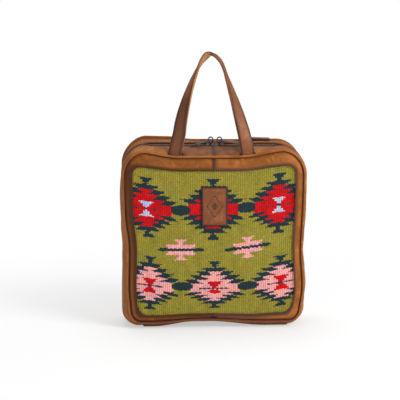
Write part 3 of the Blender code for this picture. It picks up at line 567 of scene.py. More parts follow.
# the left half wears the darker copy of the tan hide as painted shade, on the side away from the key light
for side, look in (("left", painted_shade_hide), ("right", tan_hide)):
    rings = [frame_ring(station, window) for station, window in zip(SIDES[side], WINDOW[side])]
    frame_half = skinned(f"frame_leather_{side}", rings, look, crease=70)
    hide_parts(f"front_frame_{side}")
    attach(frame_half, "bag")

# The patch is a small upright piece of the same leather, darker, sewn to the cloth with dark thread near its
# edge. A plain stepped lozenge is pressed into it.
PATCH_SIZE, PATCH_CENTRE, PATCH_PLY = (0.0355, 0.0560), (0.0003, 0.1727), 0.0015
PATCH_SEAM, LOZENGE_STEP = 0.0021, 0.0022
STITCH_PITCH, STITCH_RADIUS, STITCH_SINK = 0.0034, 0.00030, 0.00002


def patch_spot(u, v, sunk):
    """A point of the patch, from its own centre."""
    return cloth_spot(PATCH_CENTRE[0] + u, PATCH_CENTRE[1] + v, LEATHER_PLY - PATCH_PLY + sunk)


def build_patch():
    """The patch, with its pressed lozenge and soft edges."""
    wide, tall = PATCH_SIZE[0] / 2, PATCH_SIZE[1] / 2
    columns, rows = 56, 84
    rings = []
    for column in range(columns + 1):
        u = wide * (2 * column / columns - 1)
        ring = []
        for row in range(rows + 1):
            v = tall * (2 * row / rows - 1)
            edge = min(wide - abs(u), tall - abs(v))
            steps = math.floor(abs(u) / LOZENGE_STEP) * LOZENGE_STEP * 1.5 + abs(v)
            pressed = ease(steps, 0.0128, 0.0133) - ease(steps, 0.0150, 0.0155)
            pressed += 1 - ease(steps, 0.0046, 0.0051)
            dark = max(1.3 - edge / 0.0036, 0.12) + 0.616 * pressed
            sunk = 0.0006 * (1 - ease(edge, 0.0, 0.0010)) + 0.00028 * pressed
            sunk += 0.00022 * hump(edge, PATCH_SEAM, 0.0005) + rumple((u, 3, v), 0.008, 0.00012)
            ring.append((patch_spot(u, v, sunk), dark))
        for v in (tall, tall / 2, 0.0, -tall / 2, -tall):
            ring.append((patch_spot(u, v, PATCH_PLY), 1.0))
        rings.append(ring)
    return skinned("patch", rings, patch_hide, crease=80)


def stitch_shape():
    """One stitch of waxed thread: a short lens that dives at both ends."""
    rings = []
    for share in (-1.0, -0.7, 0.0, 0.7, 1.0):
        radius, drop = STITCH_RADIUS * math.sqrt(max(1 - share**4, 0.06)), STITCH_RADIUS * share * share
        ring = []
        for angle in (0.0, 1.26, 2.51, 3.77, 5.03):
            y, z = radius * math.cos(angle), radius * 0.8 * math.sin(angle) - drop
            ring.append((Vector((share * STITCH_PITCH * 0.40, y, z)), 0.0))
        rings.append(ring)
    return skinned("stitch shape", rings)


def row_tree():
    """Sets copies of a shape along a path at an even pitch, each lying along it with its back outwards."""
    tree = bpy.data.node_groups.new("row along a path", "GeometryNodeTree")
    for name, kind in (("Path", "Geometry"), ("Pitch", "Float"), ("Shape", "Object"),
                       ("Unevenness", "Float"), ("Finish", "Material")):
        tree.interface.new_socket(name, in_out="INPUT", socket_type=f"NodeSocket{kind}")
    tree.interface.new_socket("Row", in_out="OUTPUT", socket_type="NodeSocketGeometry")
    given = tree.nodes.new("NodeGroupInput").outputs

    def add(kind, values, **settings):
        return added(tree, kind, settings, values)

    curve = add("GeometryNodeMeshToCurve", {"Mesh": given["Path"]})
    spaced = add("GeometryNodeResampleCurve", {"Curve": curve, "Length": given["Pitch"]}, mode="LENGTH")
    outwards = add("GeometryNodeInputNamedAttribute", {"Name": "out"}, data_type="FLOAT_VECTOR")
    axes = {"Primary Axis": add("GeometryNodeInputTangent", {}), "Secondary Axis": outwards}
    facing = add("FunctionNodeAxesToRotation", axes, primary_axis="X", secondary_axis="Z")
    shape = added(tree, "GeometryNodeObjectInfo", {}, {"Object": given["Shape"]}, "Geometry")
    copies = add("GeometryNodeInstanceOnPoints", {"Points": spaced, "Instance": shape, "Rotation": facing})
    spread = {"Min": (-1, -1, -1), "Max": (1, 1, 1), "Seed": 7}
    scatter = add("FunctionNodeRandomValue", spread, data_type="FLOAT_VECTOR")
    uneven = {"Vector": scatter, "Scale": given["Unevenness"]}
    scaled = add("ShaderNodeVectorMath", uneven, operation="SCALE")
    turned = add("GeometryNodeRotateInstances", {"Instances": copies, "Rotation": scaled})
    real = add("GeometryNodeRealizeInstances", {"Geometry": turned})
    finished = add("GeometryNodeSetMaterial", {"Geometry": real, "Material": given["Finish"]})
    tree.links.new(finished, tree.nodes.new("NodeGroupOutput").inputs[0])
    return tree


ROW = row_tree()


def applied(piece):
    """The mesh that a piece's modifiers make."""
    return bpy.data.meshes.new_from_object(piece.evaluated_get(bpy.context.evaluated_depsgraph_get()))


def row_of(name, shape, paths, pitch, look, unevenness=0.03):
    """A made row of one shape along paths; each path is a list of points and outward directions."""
    mesh = bpy.data.meshes.new(f"{name} path")
    edges, start = [], 0
    for path in paths:
        edges += [(start + index, start + index + 1) for index in range(len(path) - 1)]
        start += len(path)
    mesh.from_pydata([point for path in paths for point, out in path], edges, [])
    outs = [value for path in paths for point, out in path for value in out]
    mesh.attributes.new("out", "FLOAT_VECTOR", "POINT").data.foreach_set("vector", outs)
    guide = placed(f"{name} path", mesh)
    modifier = guide.modifiers.new("row", "NODES")
    modifier.node_group = ROW
    values = {"Pitch": pitch, "Shape": shape, "Unevenness": unevenness, "Finish": look.material}
    for item in ROW.interface.items_tree:
        if item.name in values:
            modifier[item.identifier] = values[item.name]
    solid = applied(guide)
    bpy.data.objects.remove(guide)
    solid.name = name
    solid.shade_smooth()
    made = placed(name, solid)
    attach(made, "bag")
    return made


def lined(corners, steps):
    """The sides of an outline, each a run of evenly spaced spots."""
    return [[(u + (end_u - u) * t / steps, v + (end_v - v) * t / steps) for t in range(steps + 1)]
            for (u, v), (end_u, end_v) in zip(corners, corners[1:])]


thread = Look("waxed thread", roughness=0.6)
ply = thread.cloud(3200, 2.0)
waxed = thread.blend((0.060, 0.026, 0.016), (0.16, 0.070, 0.036), ply.between(0.3, 0.7))
thread.wear({"Base Color": waxed})
thread.relief((ply, 0.0002))
STITCH = stitch_shape()

patch_hide = hide("patch hide", (0.25, 0.084, 0.030), (0.17, 0.054, 0.020), (0.050, 0.018, 0.016), 0.44)
patch = build_patch()
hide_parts("front_patch")
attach(patch, "bag")

wide, tall = PATCH_SIZE[0] / 2 - PATCH_SEAM, PATCH_SIZE[1] / 2 - PATCH_SEAM
outline = [(-wide, -tall), (wide, -tall), (wide, tall), (-wide, tall), (-wide, -tall)]
paths = [[(patch_spot(u, v, 0.0), (0, -1, 0)) for u, v in line] for line in lined(outline, 12)]
row_of("patch_stitches", STITCH, paths, STITCH_PITCH * 0.8, thread)

# The piping is a cord wrapped in the same leather, whose flange is caught in each seam. Its crest is painted
# lighter as a highlight, its grooves on both sides painted darker as shade, and it is darker along the
# bottom.
PIPING_CORNERS, PIPING_CREST = 16, math.radians(50)
# the flange: the section's corners that lie in the seam, how far in and how far down
FLANGE = {5: (0.0020, 0.0021), 6: (0.0048, 0.0019), 7: (0.0020, 0.0018)}
FACES = (("front", -1), ("rear", 1))
for face, sign in FACES:
    crest = sign * PIPING_CREST
    rings = []
    for station in ROUND:
        centre, normal = seam(station, face), station[1]
        ring = []
        for corner in range(PIPING_CORNERS):
            angle = 2 * math.pi * corner / PIPING_CORNERS
            off = abs((angle - crest + math.pi) % (2 * math.pi) - math.pi)
            radius = PIPING_RADIUS + 0.0001 + rumple((centre.x, angle, centre.z), 0.012, 0.00012)
            out, deep = radius * math.cos(angle), radius * math.sin(angle)
            turned = corner * -sign % PIPING_CORNERS
            if turned in FLANGE:
                out, deep = -FLANGE[turned][0], -sign * FLANGE[turned][1]
            spot = Vector((centre.x, sign * HALF_DEPTH + deep, centre.z)) + normal * out
            # painted shade away from the crest, in the grooves, leaving the crest light as a painted
            # highlight; darker along the bottom
            painted_groove_shade = (0.8 if face == "front" else 0.2) * ease(off, 0.5, 1.5)
            ring.append((spot, 0.22 + painted_groove_shade + 0.25 * ease(-normal.z, 0.5, 0.95)))
        rings.append(ring)
    piping = skinned(f"piping_{face}", rings, tan_hide, closed=True, crease=60)
    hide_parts(f"{face}_piping")
    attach(piping, "bag")

# The gusset is four strips of the leather, front and rear, left and right, edges folded under beside the zip
# and topstitched there. They meet at the top centre and end under the base leather.
ZIP_OPENING, LIP_CLOSING, LIP_SEAM = 0.0124, 0.0049, 0.0028
BASE_LEATHER, BASE_OVERLAP = 0.196, 0.010
HANDLE_SPREAD, HANDLE_CENTRE_X, HANDLE_WIDTH, HANDLE_PLY = 0.0967, -0.0035, 0.018, 0.0040
FLAT, BASE_FLAT, TOP_SLOPE, SEAM_SLOPE, VALLEY = 0.008, 0.012, math.tan(math.radians(11)), 2.6, 0.0012
STRIP_SHARES = (0.0, 0.03, 0.07, 0.12, 0.18, 0.25, 0.33, 0.42, 0.52, 0.62, 0.72, 0.80, 0.87, 0.92, 0.96)
STRIP_FOLDS, STRIP_SWELL, STRIP_DENTS = 0.0013, 0.0008, 0.00026
SKIVING = 0.0012


def skin(station, y, inset=0.0):
    """The gusset's outer surface at depth y, moved in along the station's normal."""
    point, normal = station
    face, side = FACES[y >= 0]
    flat = FLAT + BASE_FLAT * max(-normal.z, 0.0) ** 2
    level = normal * (TOP_SLOPE * max(normal.z, 0.0) ** 2)
    across, up = settled(point.x, point.z, "middle")
    middle = Vector((across, 0, up))
    if abs(y) <= flat:
        spot = middle + level * y
    else:
        run = HALF_DEPTH - flat
        t = (abs(y) - flat) / run
        valley = seam(station, face) - normal * VALLEY
        near = middle + level * (side * flat)
        far_slope = normal * (SEAM_SLOPE * (valley - near).dot(normal) / run)
        spot = near * (2 * t**3 - 3 * t**2 + 1) + level * (side * run * (t**3 - 2 * t**2 + t))
        spot += valley * (3 * t**2 - 2 * t**3) + far_slope * (run * (t**3 - t**2))
    spot = spot - normal * inset
    return Vector((spot.x, y, spot.z))


def tucked(station):
    """How far a strip dives under the base leather's end."""
    return (LEATHER_PLY + GAP) * ease(-station[1].z, 0.2, 0.9)


def lip(station):
    """How far from the zip's middle a strip's fold lies: closer past the straight run of the sliders."""
    point, normal = station
    closing = max(ease(abs(point.x), 0.083, 0.098), 1 - ease(normal.z, 0.80, 0.99))
    return ZIP_OPENING / 2 - LIP_CLOSING * closing


def strip_stations(half):
    """The stations of one half, from the top centre to the strip's end."""
    end_x = BASE_LEATHER / 2 - BASE_OVERLAP
    kept = [station for station in half if station[1].z > -0.99 or abs(station[0].x) > end_x]
    last, normal = kept[-1]
    return kept + [(Vector((math.copysign(end_x, last.x), last.y, last.z)), normal)]


def strip_ring(station, sign):
    """A strip's section: from the piping up and over to the fold beside the zip, and back beneath."""
    point, normal = station
    edge, turn = HALF_DEPTH - PIPING_RADIUS - GAP, LEATHER_PLY / 2
    opening, more = lip(station), tucked(station)
    on_top = sign < 0 and normal.z > 0.99
    if on_top:
        foot_edge = HALF_DEPTH - PIPING_RADIUS - 2 * GAP - HANDLE_PLY
        beside = abs(abs(point.x - HANDLE_CENTRE_X) - HANDLE_SPREAD / 2) - HANDLE_WIDTH / 2
        edge += (foot_edge - edge) * (1 - ease(beside, 0.0004, 0.0022))
    ring = []
    for share in STRIP_SHARES:
        y = edge + (opening + turn - edge) * share
        spot = skin(station, sign * y, more)
        loose = ease(share, 0.05, 0.3) * (1 - ease(share, 0.75, 0.9))
        swell = STRIP_FOLDS * noise.noise((spot.x / 0.034, spot.y / 0.006, spot.z / 0.034))
        swell = loose * (swell + rumple(spot, 0.020, STRIP_SWELL) + rumple(spot, 0.007, STRIP_DENTS))
        swell -= 0.0003 * hump(y - opening, LIP_SEAM, 0.0006)
        # painted shade on the front strip's top between the handle's feet, under the pulls
        painted_shade_between_feet = 0.0
        if on_top and point.x > HANDLE_CENTRE_X - HANDLE_SPREAD / 2:
            painted_shade_between_feet = 0.62 - 1.6 * ease(point.x - HANDLE_CENTRE_X - HANDLE_SPREAD / 2, 0.0, 0.008)
            painted_shade_between_feet += 0.5 * noise.noise((spot.x / 0.011, spot.y / 0.009, 1.0))
        dark = max(0.7 - (edge - y) / 0.0050, 1.1 - (y - opening) / 0.0050, joint(point.x), painted_shade_between_feet, 0.0)
        # painted shade down the left side
        ring.append((spot + normal * swell, dark + 0.30 * ease(-normal.x, 0.2, 1.0)))
    for angle in range(0, 181, 45):
        lean = math.radians(angle)
        y = opening + turn * (1 - math.sin(lean))
        ring.append((skin(station, sign * y, more + turn * (1 - math.cos(lean))), 1.0))
    for share in (0.6, 0.2):
        ring.append((skin(station, sign * (edge + (opening - edge) * share), more + LEATHER_PLY), 0.6))
    ring.append((skin(station, sign * (edge - SKIVING), more + LEATHER_PLY), 0.6))
    return ring


lip_hide = hide("waxed tan strip", (0.38, 0.130, 0.024), (0.22, 0.070, 0.012), (0.092, 0.037, 0.023))
for face, sign in FACES:
    for side, half in SIDES.items():
        stations = strip_stations(half)
        name = f"gusset_{face}_{side}"
        rings = [strip_ring(station, sign) for station in stations]
        strip = skinned(f"{name}_leather", rings, lip_hide, crease=70)
        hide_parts(f"gusset_{face}_{side}")
        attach(strip, "bag")
        path = []
        for station in stations[1:-2]:
            outside = tucked(station) - STITCH_SINK
            path.append((skin(station, sign * (lip(station) + LIP_SEAM), outside), tuple(station[1])))
        row_of(f"{name}_stitches", STITCH, [path], STITCH_PITCH, thread)

# The base leather is one piece across the bottom, its cut ends lapped over the ends of the zip and strips
# and sewn through; those ends are the dark nubs at the bottom corners.
BASE_STEPS, BASE_ROWS, BASE_REACH, END_SEAM = 72, 24, 0.0055, 0.0045
edge = HALF_DEPTH - PIPING_RADIUS - GAP
left_end, right_end = -BASE_LEATHER / 2, BASE_LEATHER / 2 + BASE_REACH
rings = []
for index in range(BASE_STEPS + 1):
    x = left_end + (right_end - left_end) * index / BASE_STEPS
    station = (Vector((x, 0, 0)), Vector((0, 0, -1)))
    near_end = min(x - left_end, right_end - x)
    rounding = 0.0005 * (1 - ease(near_end, 0.0, 0.0012))
    ring = []
    for step in range(BASE_ROWS + 1):
        y = edge * (2 * step / BASE_ROWS - 1)
        lift = rumple((x, y, 0), 0.020, 0.0002) if abs(x) > 0.030 and near_end > 0.02 else 0.0
        dark = max(1.0 - near_end / 0.004, 1.0 - (edge - abs(y)) / 0.006, 0.25)
        ring.append((skin(station, y, rounding + abs(lift)), dark))
    for y in (edge - SKIVING, 0.026, 0.0, -0.026, SKIVING - edge):
        ring.append((skin(station, y, LEATHER_PLY), 1.0))
    rings.append(ring)
base = skinned("base_leather", rings, tan_hide, crease=70)
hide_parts("gusset_base")
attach(base, "bag")
paths = []
for x in (left_end + END_SEAM, right_end - END_SEAM):
    station = (Vector((x, 0, 0)), Vector((0, 0, -1)))
    paths.append([(skin(station, y / 1000, 0.00022), (0, 0, -1)) for y in range(-22, 23, 2)])
row_of("base_stitches", STITCH, paths, STITCH_PITCH, thread)

# The zip's tapes are dark brown twill with a corded edge at the teeth. The leather hides most of them, and
# their ends go under the base leather.
TAPE_START, TAPE_END, TAPE_PLY = 0.0031, 0.0160, 0.0006
TAPE_SINK = LEATHER_PLY + 2 * GAP
ZIP_MIDDLE = TAPE_SINK + TAPE_PLY / 2
CORD_MIDDLE, CORD_END = TAPE_START + 0.0006, TAPE_START + 0.0011
# the tape's section: distances from the zip's middle line, and depths under the tape's outer face
TAPE_SECTION = ((TAPE_START, -0.0001), (CORD_MIDDLE, -0.0002), (CORD_END, 0.0), (0.0045, 0.0),
                (0.0058, 0.0), (TAPE_END, 0.0), (TAPE_END, TAPE_PLY), (CORD_END, TAPE_PLY),
                (CORD_MIDDLE, TAPE_PLY + 0.0002), (TAPE_START, TAPE_PLY + 0.0001))


def twill(name, roughness, dark, light, wave):
    """A cloth of slanting ribs."""
    look = Look(name, roughness=roughness)
    banded = {"wave_type": "BANDS", "bands_direction": "DIAGONAL"}
    slanting = look.node("TexWave", banded, {"Vector": look.place, **wave}, "Fac")
    look.wear({"Base Color": look.blend(dark, light, slanting)})
    look.relief((slanting, 0.0002))
    return look


weave = {"Scale": 420.0, "Distortion": 1.5, "Detail": 1.0}
tape_twill = twill("zip tape twill", 0.9, (0.14, 0.092, 0.078), (0.24, 0.165, 0.145), weave)
ZIP_PATH = strip_stations(SIDES["left"])[::-1] + strip_stations(RIGHT)[1:]
for face, sign in FACES:
    rings = []
    for station in ZIP_PATH:
        more = TAPE_SINK + tucked(station)
        rings.append([(skin(station, sign * y, sunk + more), 0.0) for y, sunk in TAPE_SECTION])
    tape = skinned(f"zip_tape_{face}_twill", rings, tape_twill, crease=60)
    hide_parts(f"zip_tape_{face}")
    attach(tape, "bag")

# The teeth are dark cast metal, clamped on the tapes' corded edges at an even pitch. The two rows interlock,
# half a pitch apart, each tooth reaching across the middle. The sliders' 72 mm travel is 32 teeth.
TOOTH_PITCH, TOOTH_REACH = 0.00225, 0.0031


def tooth_shape():
    """One tooth, lying along the row, back up: clamp feet on the tape, a neck and a rounded head."""
    sections = ((0.0, 0.00060, 0.00085), (0.0010, 0.00068, 0.00115), (0.0020, 0.00062, 0.00105),
                (0.0028, 0.00055, 0.00085), (0.0036, 0.00048, 0.00055))
    corners = ((1, -0.7), (1, 0.7), (0.7, 1), (-0.7, 1), (-1, 0.7), (-1, -0.7), (-0.7, -1), (0.7, -1))
    rings = []
    for out, length, height in sections:
        rings.append([(Vector((x * length, out, z * height)), 0.0) for x, z in corners])
    return skinned("tooth shape", rings, crease=30)


cast = Look("cast teeth", metallic=1.0)
tarnish = cast.cloud(900, 3.0)
brass = cast.blend((0.13, 0.092, 0.066), (0.33, 0.25, 0.18), tarnish.between(0.35, 0.75))
cast.wear({"Base Color": brass, "Roughness": 0.28 + tarnish * 0.2})
TOOTH = tooth_shape()
for face, sign in FACES:
    stations = ZIP_PATH if sign < 0 else ZIP_PATH[::-1]
    path = [(skin(s, sign * TOOTH_REACH, ZIP_MIDDLE + tucked(s)), tuple(s[1])) for s in stations]
    if sign > 0:
        step = (path[1][0] - path[0][0]).normalized() * (TOOTH_PITCH / 2)
        path[0] = (path[0][0] + step, path[0][1])
    length = sum((there[0] - here[0]).length for here, there in zip(path, path[1:]))
    spare = TOOTH_PITCH * round(length / TOOTH_PITCH) + 0.00001 - length
    path[-1] = (path[-1][0] + (path[-1][0] - path[-2][0]).normalized() * spare, path[-1][1])
    teeth = row_of(f"zip_teeth_{face}_cast", TOOTH, [path], TOOTH_PITCH, cast, 0.0)
    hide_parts(f"zip_teeth_{face}")

# Two gunmetal sliders meet nose to nose at the top centre, each with a standing loop and a long slim pull
# whose open eye hangs in it.
gunmetal = Look("gunmetal", metallic=1.0)
smudge = gunmetal.cloud(500, 3.0)
grey = gunmetal.blend((0.075, 0.070, 0.070), (0.17, 0.16, 0.155), smudge.between(0.3, 0.8))
gunmetal.wear({"Base Color": grey, "Roughness": 0.2 + smudge * 0.22})


def softened(node, name, width):
    """A copy of a metal part with its edges rounded as casting and tumbling leave them."""
    shape = bmesh.new()
    shape.from_mesh(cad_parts[node].data)
    bmesh.ops.remove_doubles(shape, verts=shape.verts, dist=1e-6)
    bmesh.ops.dissolve_limit(shape, angle_limit=math.radians(4), verts=shape.verts, edges=shape.edges)
    mesh = bpy.data.meshes.new(name)
    shape.to_mesh(mesh)
    shape.free()
    made = placed(name, mesh)
    bevel = made.modifiers.new("edges", "BEVEL")
    bevel.width, bevel.segments, bevel.limit_method, bevel.angle_limit = width, 2, "ANGLE", math.radians(28)
    made.data = applied(made)
    made.modifiers.clear()
    made.data.shade_smooth()
    made.data.set_sharp_from_angle(angle=math.radians(40))
    made.data.materials.clear()
    made.data.materials.append(gunmetal.material)
    return made


for side in ("left", "right"):
    for kind, width in (("slider", 0.00028), ("puller", 0.00030)):
        metal = softened(f"{kind}_{side}", f"{kind}_{side}_metal", width)
        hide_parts(f"{kind}_{side}")
        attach(metal, f"{kind}_{side}")

# The rear is one plain panel of the same leather, full at the middle. Its edge is caught in the rear seam
# behind the piping.
rings = []
start = PIPING_RADIUS + GAP
centre = Vector((0, 0, (WINDOW_FOOT + WINDOW_TOP) / 2))
WINDOW_ROUND = WINDOW_RIGHT[:-1] + WINDOW["left"][:0:-1]
for more in (0.0, 0.0008, 0.0018, 0.0030, 0.0045, 0.0070, 0.0105):
    inset = start + more
    ring = []
    for station in ROUND:
        point, normal = station
        crisp = point - normal * (bulge(normal) + inset)
        x, z = settled(crisp.x, crisp.z, "rear")
        if inset < 0.0045:
            near = seam(station, "rear") - normal * inset
            x, z = near.x, near.z
        ring.append((Vector((x, face_depth(inset), z)), max(1.05 - inset / 0.0085, 0.0)))
    rings.append(ring)
for share in (1.0, 0.93, 0.85, 0.76, 0.66, 0.55, 0.44, 0.33, 0.22, 0.12, 0.04):
    ring = []
    for point, normal in WINDOW_ROUND:
        crisp = centre + (point - centre) * share
        x, z = settled(crisp.x, crisp.z, "rear")
        swell = rumple((x, 20, z), 0.045, 0.0007) + rumple((x, 30, z), 0.012, 0.0002)
        depth = face_depth(seam_inset(crisp.x, crisp.z)) - 0.0005 + swell * ease(1 - share, 0.0, 0.2)
        ring.append((Vector((x, depth, z)), 0.0))
    rings.append(ring)
back_rings = []
for inset in (0.0090, start):
    back_rings.append([])
    for station in ROUND:
        near = seam(station, "rear") - station[1] * inset
        back_rings[-1].append((Vector((near.x, face_depth(inset) - LEATHER_PLY, near.z)), 1.0))
rear = skinned("rear_leather", back_rings + rings, tan_hide, crease=70)
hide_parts("rear_panel")
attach(rear, "bag")

# The handle is one strap of folded leather. Its feet run down behind the front piping into the seam; it
# narrows to the eye as it turns edge-on, and comes to a soft point over the zip.
HANDLE_RISE, HANDLE_EXIT, TWIST_RISE = 0.1395, 0.009, 0.100
BACK_LEAN, TWIST, CREST_TWIST = math.tan(math.radians(16)), math.radians(84), math.radians(34)
STRAP_STATIONS, STRAP_CORNERS, STRAP_SEAM = 168, 28, 0.0067
foot_z = seam((Vector((HANDLE_CENTRE_X - HANDLE_SPREAD / 2, 0, ZIP_HEIGHT)), Vector((0, 0, 1))), "front").z
foot_y = -HALF_DEPTH + PIPING_RADIUS + GAP + HANDLE_PLY / 2


def strap_path():
    """The strap's middle line from foot to foot."""
    half = HANDLE_SPREAD / 2
    shape = [(-1.0, -0.075), (-1.0, 0.0), (-1.0, 0.06), (-0.891, 0.21), (-0.856, 0.285), (-0.813, 0.36),
             (-0.759, 0.435), (-0.699, 0.51), (-0.627, 0.59), (-0.548, 0.665), (-0.463, 0.74),
             (-0.366, 0.815), (-0.263, 0.883), (-0.170, 0.926), (-0.080, 0.953), (0.022, 0.964),
             (0.124, 0.953), (0.218, 0.926), (0.318, 0.880), (0.393, 0.815), (0.463, 0.74), (0.534, 0.665),
             (0.602, 0.59), (0.676, 0.51), (0.740, 0.435), (0.800, 0.36), (0.856, 0.285), (0.912, 0.21),
             (1.0, 0.06), (1.0, 0.0), (1.0, -0.075)]
    knots = [Vector((HANDLE_CENTRE_X + half * x, 0, foot_z + HANDLE_RISE * rise)) for x, rise in shape]
    points, spans = [], len(knots) - 1
    for index in range(STRAP_STATIONS + 1):
        where = spans * index / STRAP_STATIONS
        span = min(int(where), spans - 1)
        t = where - span
        before, here = knots[max(span - 1, 0)], knots[span]
        there, after = knots[span + 1], knots[min(span + 2, spans)]
        spot = here * 2 + (there - before) * t + (before * 2 - here * 5 + there * 4 - after) * t**2
        spot = (spot + (here * 3 - before - there * 3 + after) * t**3) / 2
        rise = max(spot.z - foot_z - HANDLE_EXIT, 0.0)
        back = BACK_LEAN * rise * rise / (rise + 0.012)
        points.append(Vector((spot.x, foot_y + back, spot.z)))
    return points


STRAP = strap_path()


def strap_frame(index):
    """The strap's direction, its face and the way across it at a station."""
    point = STRAP[index]
    tangent = (STRAP[min(index + 1, STRAP_STATIONS)] - STRAP[max(index - 1, 0)]).normalized()
    front = Vector((0, -1, 0))
    front = (front - tangent * front.dot(tangent)).normalized()
    outward = -tangent.cross(front)
    rise = point.z - foot_z
    turn = TWIST * min(max((rise - HANDLE_EXIT) / TWIST_RISE, 0.0), 1.0)
    crest = hump(point.x, -0.008, 0.012 if point.x < -0.008 else 0.007)
    turn += CREST_TWIST * crest * ease(rise, TWIST_RISE, HANDLE_RISE * 0.9)
    face = front * math.cos(turn) + outward * math.sin(turn)
    return point, tangent, face, tangent.cross(face)


def squarish(corner, corners, power):
    """A corner of a round-cornered square's outline, -1 to 1 each way."""
    angle = 2 * math.pi * (corner + 0.5) / corners
    c, s = math.cos(angle), math.sin(angle)
    size = (abs(c) ** power + abs(s) ** power) ** (-1 / power)
    return c * size, s * size


strap_hide = hide("strap hide", (0.29, 0.103, 0.038), (0.20, 0.068, 0.025), (0.052, 0.022, 0.014), 0.42)
rings = []
for index in range(STRAP_STATIONS + 1):
    point, tangent, face, across = strap_frame(index)
    rise = point.z - foot_z
    ring = []
    for corner in range(STRAP_CORNERS):
        a, b = squarish(corner, STRAP_CORNERS, 5)
        cup, pinch = 0.0002 * (1 - a * a), 0.00018 * hump(abs(a), 0.76, 0.06)
        up = b * HANDLE_PLY / 2 * (1 - 0.12 * abs(a) ** 4) + math.copysign(cup - pinch, b)
        up += rumple(point + across * (a * HANDLE_WIDTH / 2), 0.010, 0.00018)
        on_face = ease(abs(b), 0.3, 0.8)
        # painted shade on the legs' faces: the left leg's lower part dark, the right leg a little darker up
        # most of its height
        painted_leg_shade = 0.60 * (1 - ease(rise, 0.070, 0.094)) * on_face
        if point.x > HANDLE_CENTRE_X:
            painted_leg_shade = 0.34 * ease(rise, 0.018, 0.045) * (1 - ease(rise, 0.080, 0.104)) * on_face
        rim = ease(abs(a), 0.40, 0.95) * on_face
        near_foot = 0.4 * (1 - ease(rise, 0.0, 0.035))
        crest = 0.9 * hump(point.x, -0.0015, 0.004) * ease(rise, 0.110, 0.125)
        dark = max(rim * (1 - ease(rise, 0.085, 0.110)), near_foot, crest, painted_leg_shade + rim * 0.45)
        spot = point + across * (a * HANDLE_WIDTH / 2) + face * up
        # painted light on the left leg: its right-facing cut edge and its back face near the top turn toward
        # the painted-light gold
        if point.x < -0.003 and dark < 0.8:
            painted_lit_edge = (1 - on_face) * ease(spot.x - point.x, 0.0, 0.003)
            dark -= max(painted_lit_edge, ease(rise, 0.095, 0.112) * ease(-b, 0.2, 0.9)) * (0.9 + dark)
        ring.append((spot, dark))
    rings.append(ring)
strap = skinned("handle_strap", rings, strap_hide, crease=75)
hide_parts("handle")
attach(strap, "bag")
paths = []
for out_side, line in ((-1, -1), (-1, 1), (1, -1), (1, 1)):
    paths.append([])
    for index in range(6, STRAP_STATIONS - 5):
        point, tangent, face, across = strap_frame(index)
        spot = point + across * (line * STRAP_SEAM) + face * (out_side * (HANDLE_PLY / 2 - STITCH_SINK))
        paths[-1].append((spot, tuple(face * out_side)))
row_of("handle_stitches", STITCH, paths, STITCH_PITCH, thread)

# The tab is a short strip of the strap's leather on the rear gusset, sewn down at its outer end only, so the
# inner end stands a little proud.
TAB_LENGTH, TAB_WIDTH, TAB_PLY, TAB_X, TAB_Y = 0.038, 0.015, 0.0034, 0.042, 0.014
TAB_STEPS, TAB_CORNERS, TAB_STAND = 40, 24, 0.0020


def tab_spot(along, across, up):
    """A point of the tab from its own sizes."""
    x = TAB_X + TAB_LENGTH * along
    station = (Vector((x, 0, ZIP_HEIGHT)), Vector((0, 0, 1)))
    crest = max(skin(station, TAB_Y + TAB_WIDTH * part / 4).z for part in range(5))
    return Vector((x, TAB_Y + TAB_WIDTH * across, crest + GAP + TAB_STAND * (1 - along) ** 2 + up))


rings = []
for index in range(TAB_STEPS + 1):
    along = index / TAB_STEPS
    end = min(along, 1 - along) * TAB_LENGTH
    narrow = 0.07 * (1 - ease(end, 0.0, 0.0025)) ** 2
    ring = []
    for corner in range(TAB_CORNERS):
        a, b = squarish(corner, TAB_CORNERS, 6)
        a *= 1 - narrow
        thin = 1 - 0.35 * (1 - ease(end, 0.0, 0.0012))
        dark = max(ease(abs(a), 0.7, 1.0), 1.1 - end / 0.003, 0.25)
        ring.append((tab_spot(along, 0.5 + a / 2, TAB_PLY / 2 * (1 + b * thin)), dark))
    rings.append(ring)
tab = skinned("rear_tab_leather", rings, strap_hide, crease=75)
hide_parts("rear_tab")
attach(tab, "bag")
box = [(0.94, 0.17), (0.60, 0.17), (0.60, 0.83), (0.94, 0.83), (0.94, 0.17)]
paths = [[(tab_spot(a, b, TAB_PLY - STITCH_SINK), (0, 0, 1)) for a, b in line] for line in lined(box, 8)]
row_of("rear_tab_stitches", STITCH, paths, STITCH_PITCH, thread)
bpy.data.objects.remove(STITCH)
bpy.data.objects.remove(TOOTH)

# The linings are a plain brown twill, sewn in behind the leather and the cloth. They are inside the closed
# bag, so they keep their plain shapes.
weave = {"Scale": 260.0, "Distortion": 0.6}
lining = twill("lining twill", 0.88, (0.070, 0.052, 0.038), (0.14, 0.108, 0.082), weave)
for node in ("front_lining", "rear_lining", "base_lining", "gusset_lining_front", "gusset_lining_rear"):
    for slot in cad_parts[node].material_slots:
        slot.material = lining.material

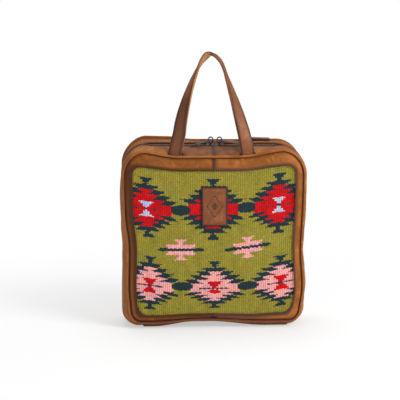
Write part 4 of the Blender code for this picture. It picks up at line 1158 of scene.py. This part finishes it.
# The studio: a wide pale floor, one large soft light from the upper right, weaker ones from the left and
# from above, and an even pale surround. The camera stands a little above the bag and a little to its left.
FLOOR_REACH, PALE, SURROUND = 30, (0.93, 0.93, 0.93), 0.42
floor_mesh = bpy.data.meshes.new("floor")
floor_corners = [(x * FLOOR_REACH, y * FLOOR_REACH, 0) for x, y in ((-1, -1), (1, -1), (1, 1), (-1, 1))]
floor_mesh.from_pydata(floor_corners, [], [(0, 1, 2, 3)])
floor = placed("floor", floor_mesh)
pale = Look("pale floor", roughness=0.7)
pale.wear({"Base Color": PALE})
seen = pale.node("LightPath", {}, {}, "Is Camera Ray")
glow = pale.node("Emission", {}, {"Color": (1.0, 1.0, 1.0), "Strength": 1.0}, "Emission")
away = pale.node("VectorMath", {"operation": "LENGTH"}, {0: pale.place}, "Value")
plain = Wire(pale, pale.shader.outputs["BSDF"])
mixed = pale.node("MixShader", {}, {0: seen * (0.5 + away.between(0.12, 0.60) * 0.5), 1: plain, 2: glow}, 0)
pale.tree.links.new(mixed.socket, pale.tree.nodes["Material Output"].inputs["Surface"])
floor_mesh.materials.append(pale.material)

lights = (("key", (1.3, -1.1, 1.2), 0.9, 32), ("fill", (-1.5, -1.6, 0.5), 1.4, 6),
          ("top", (-0.1, 0.4, 1.7), 1.0, 10))
lit_point = Vector((0, 0, 0.15))
for name, place, size, power in lights:
    lamp = placed(name, bpy.data.lights.new(name, "AREA"))
    lamp.data.energy, lamp.data.size, lamp.location = power, size, place
    lamp.rotation_euler = (Vector(place) - lit_point).to_track_quat("Z", "Y").to_euler()

world = bpy.data.worlds.new("surround")
world.use_nodes = True
camera_ray = added(world.node_tree, "ShaderNodeLightPath", {}, {}, "Is Camera Ray")
levels = {"Value": camera_ray, "To Min": SURROUND, "To Max": 1.0}
strength = added(world.node_tree, "ShaderNodeMapRange", {}, levels)
for key, value in (("Color", (1.0, 1.0, 1.0)), ("Strength", strength)):
    feed(world.node_tree, world.node_tree.nodes["Background"].inputs[key], value)
bpy.context.scene.world = world
bpy.context.scene.view_settings.view_transform = "Standard"

AZIMUTH, ELEVATION, DISTANCE, METRES_ACROSS = math.radians(-3), math.radians(10), 1.9, 0.5372
aim = Vector((-0.0191, -0.036, 0.1778))
level = math.cos(ELEVATION)
direction = Vector((math.sin(AZIMUTH) * level, -math.cos(AZIMUTH) * level, math.sin(ELEVATION)))
camera = placed("camera", bpy.data.cameras.new("camera"))
camera.location = aim + direction * DISTANCE
camera.rotation_euler = direction.to_track_quat("Z", "Y").to_euler()
camera.data.sensor_width = 36
camera.data.lens = camera.data.sensor_width * DISTANCE / METRES_ACROSS
bpy.context.scene.camera = camera
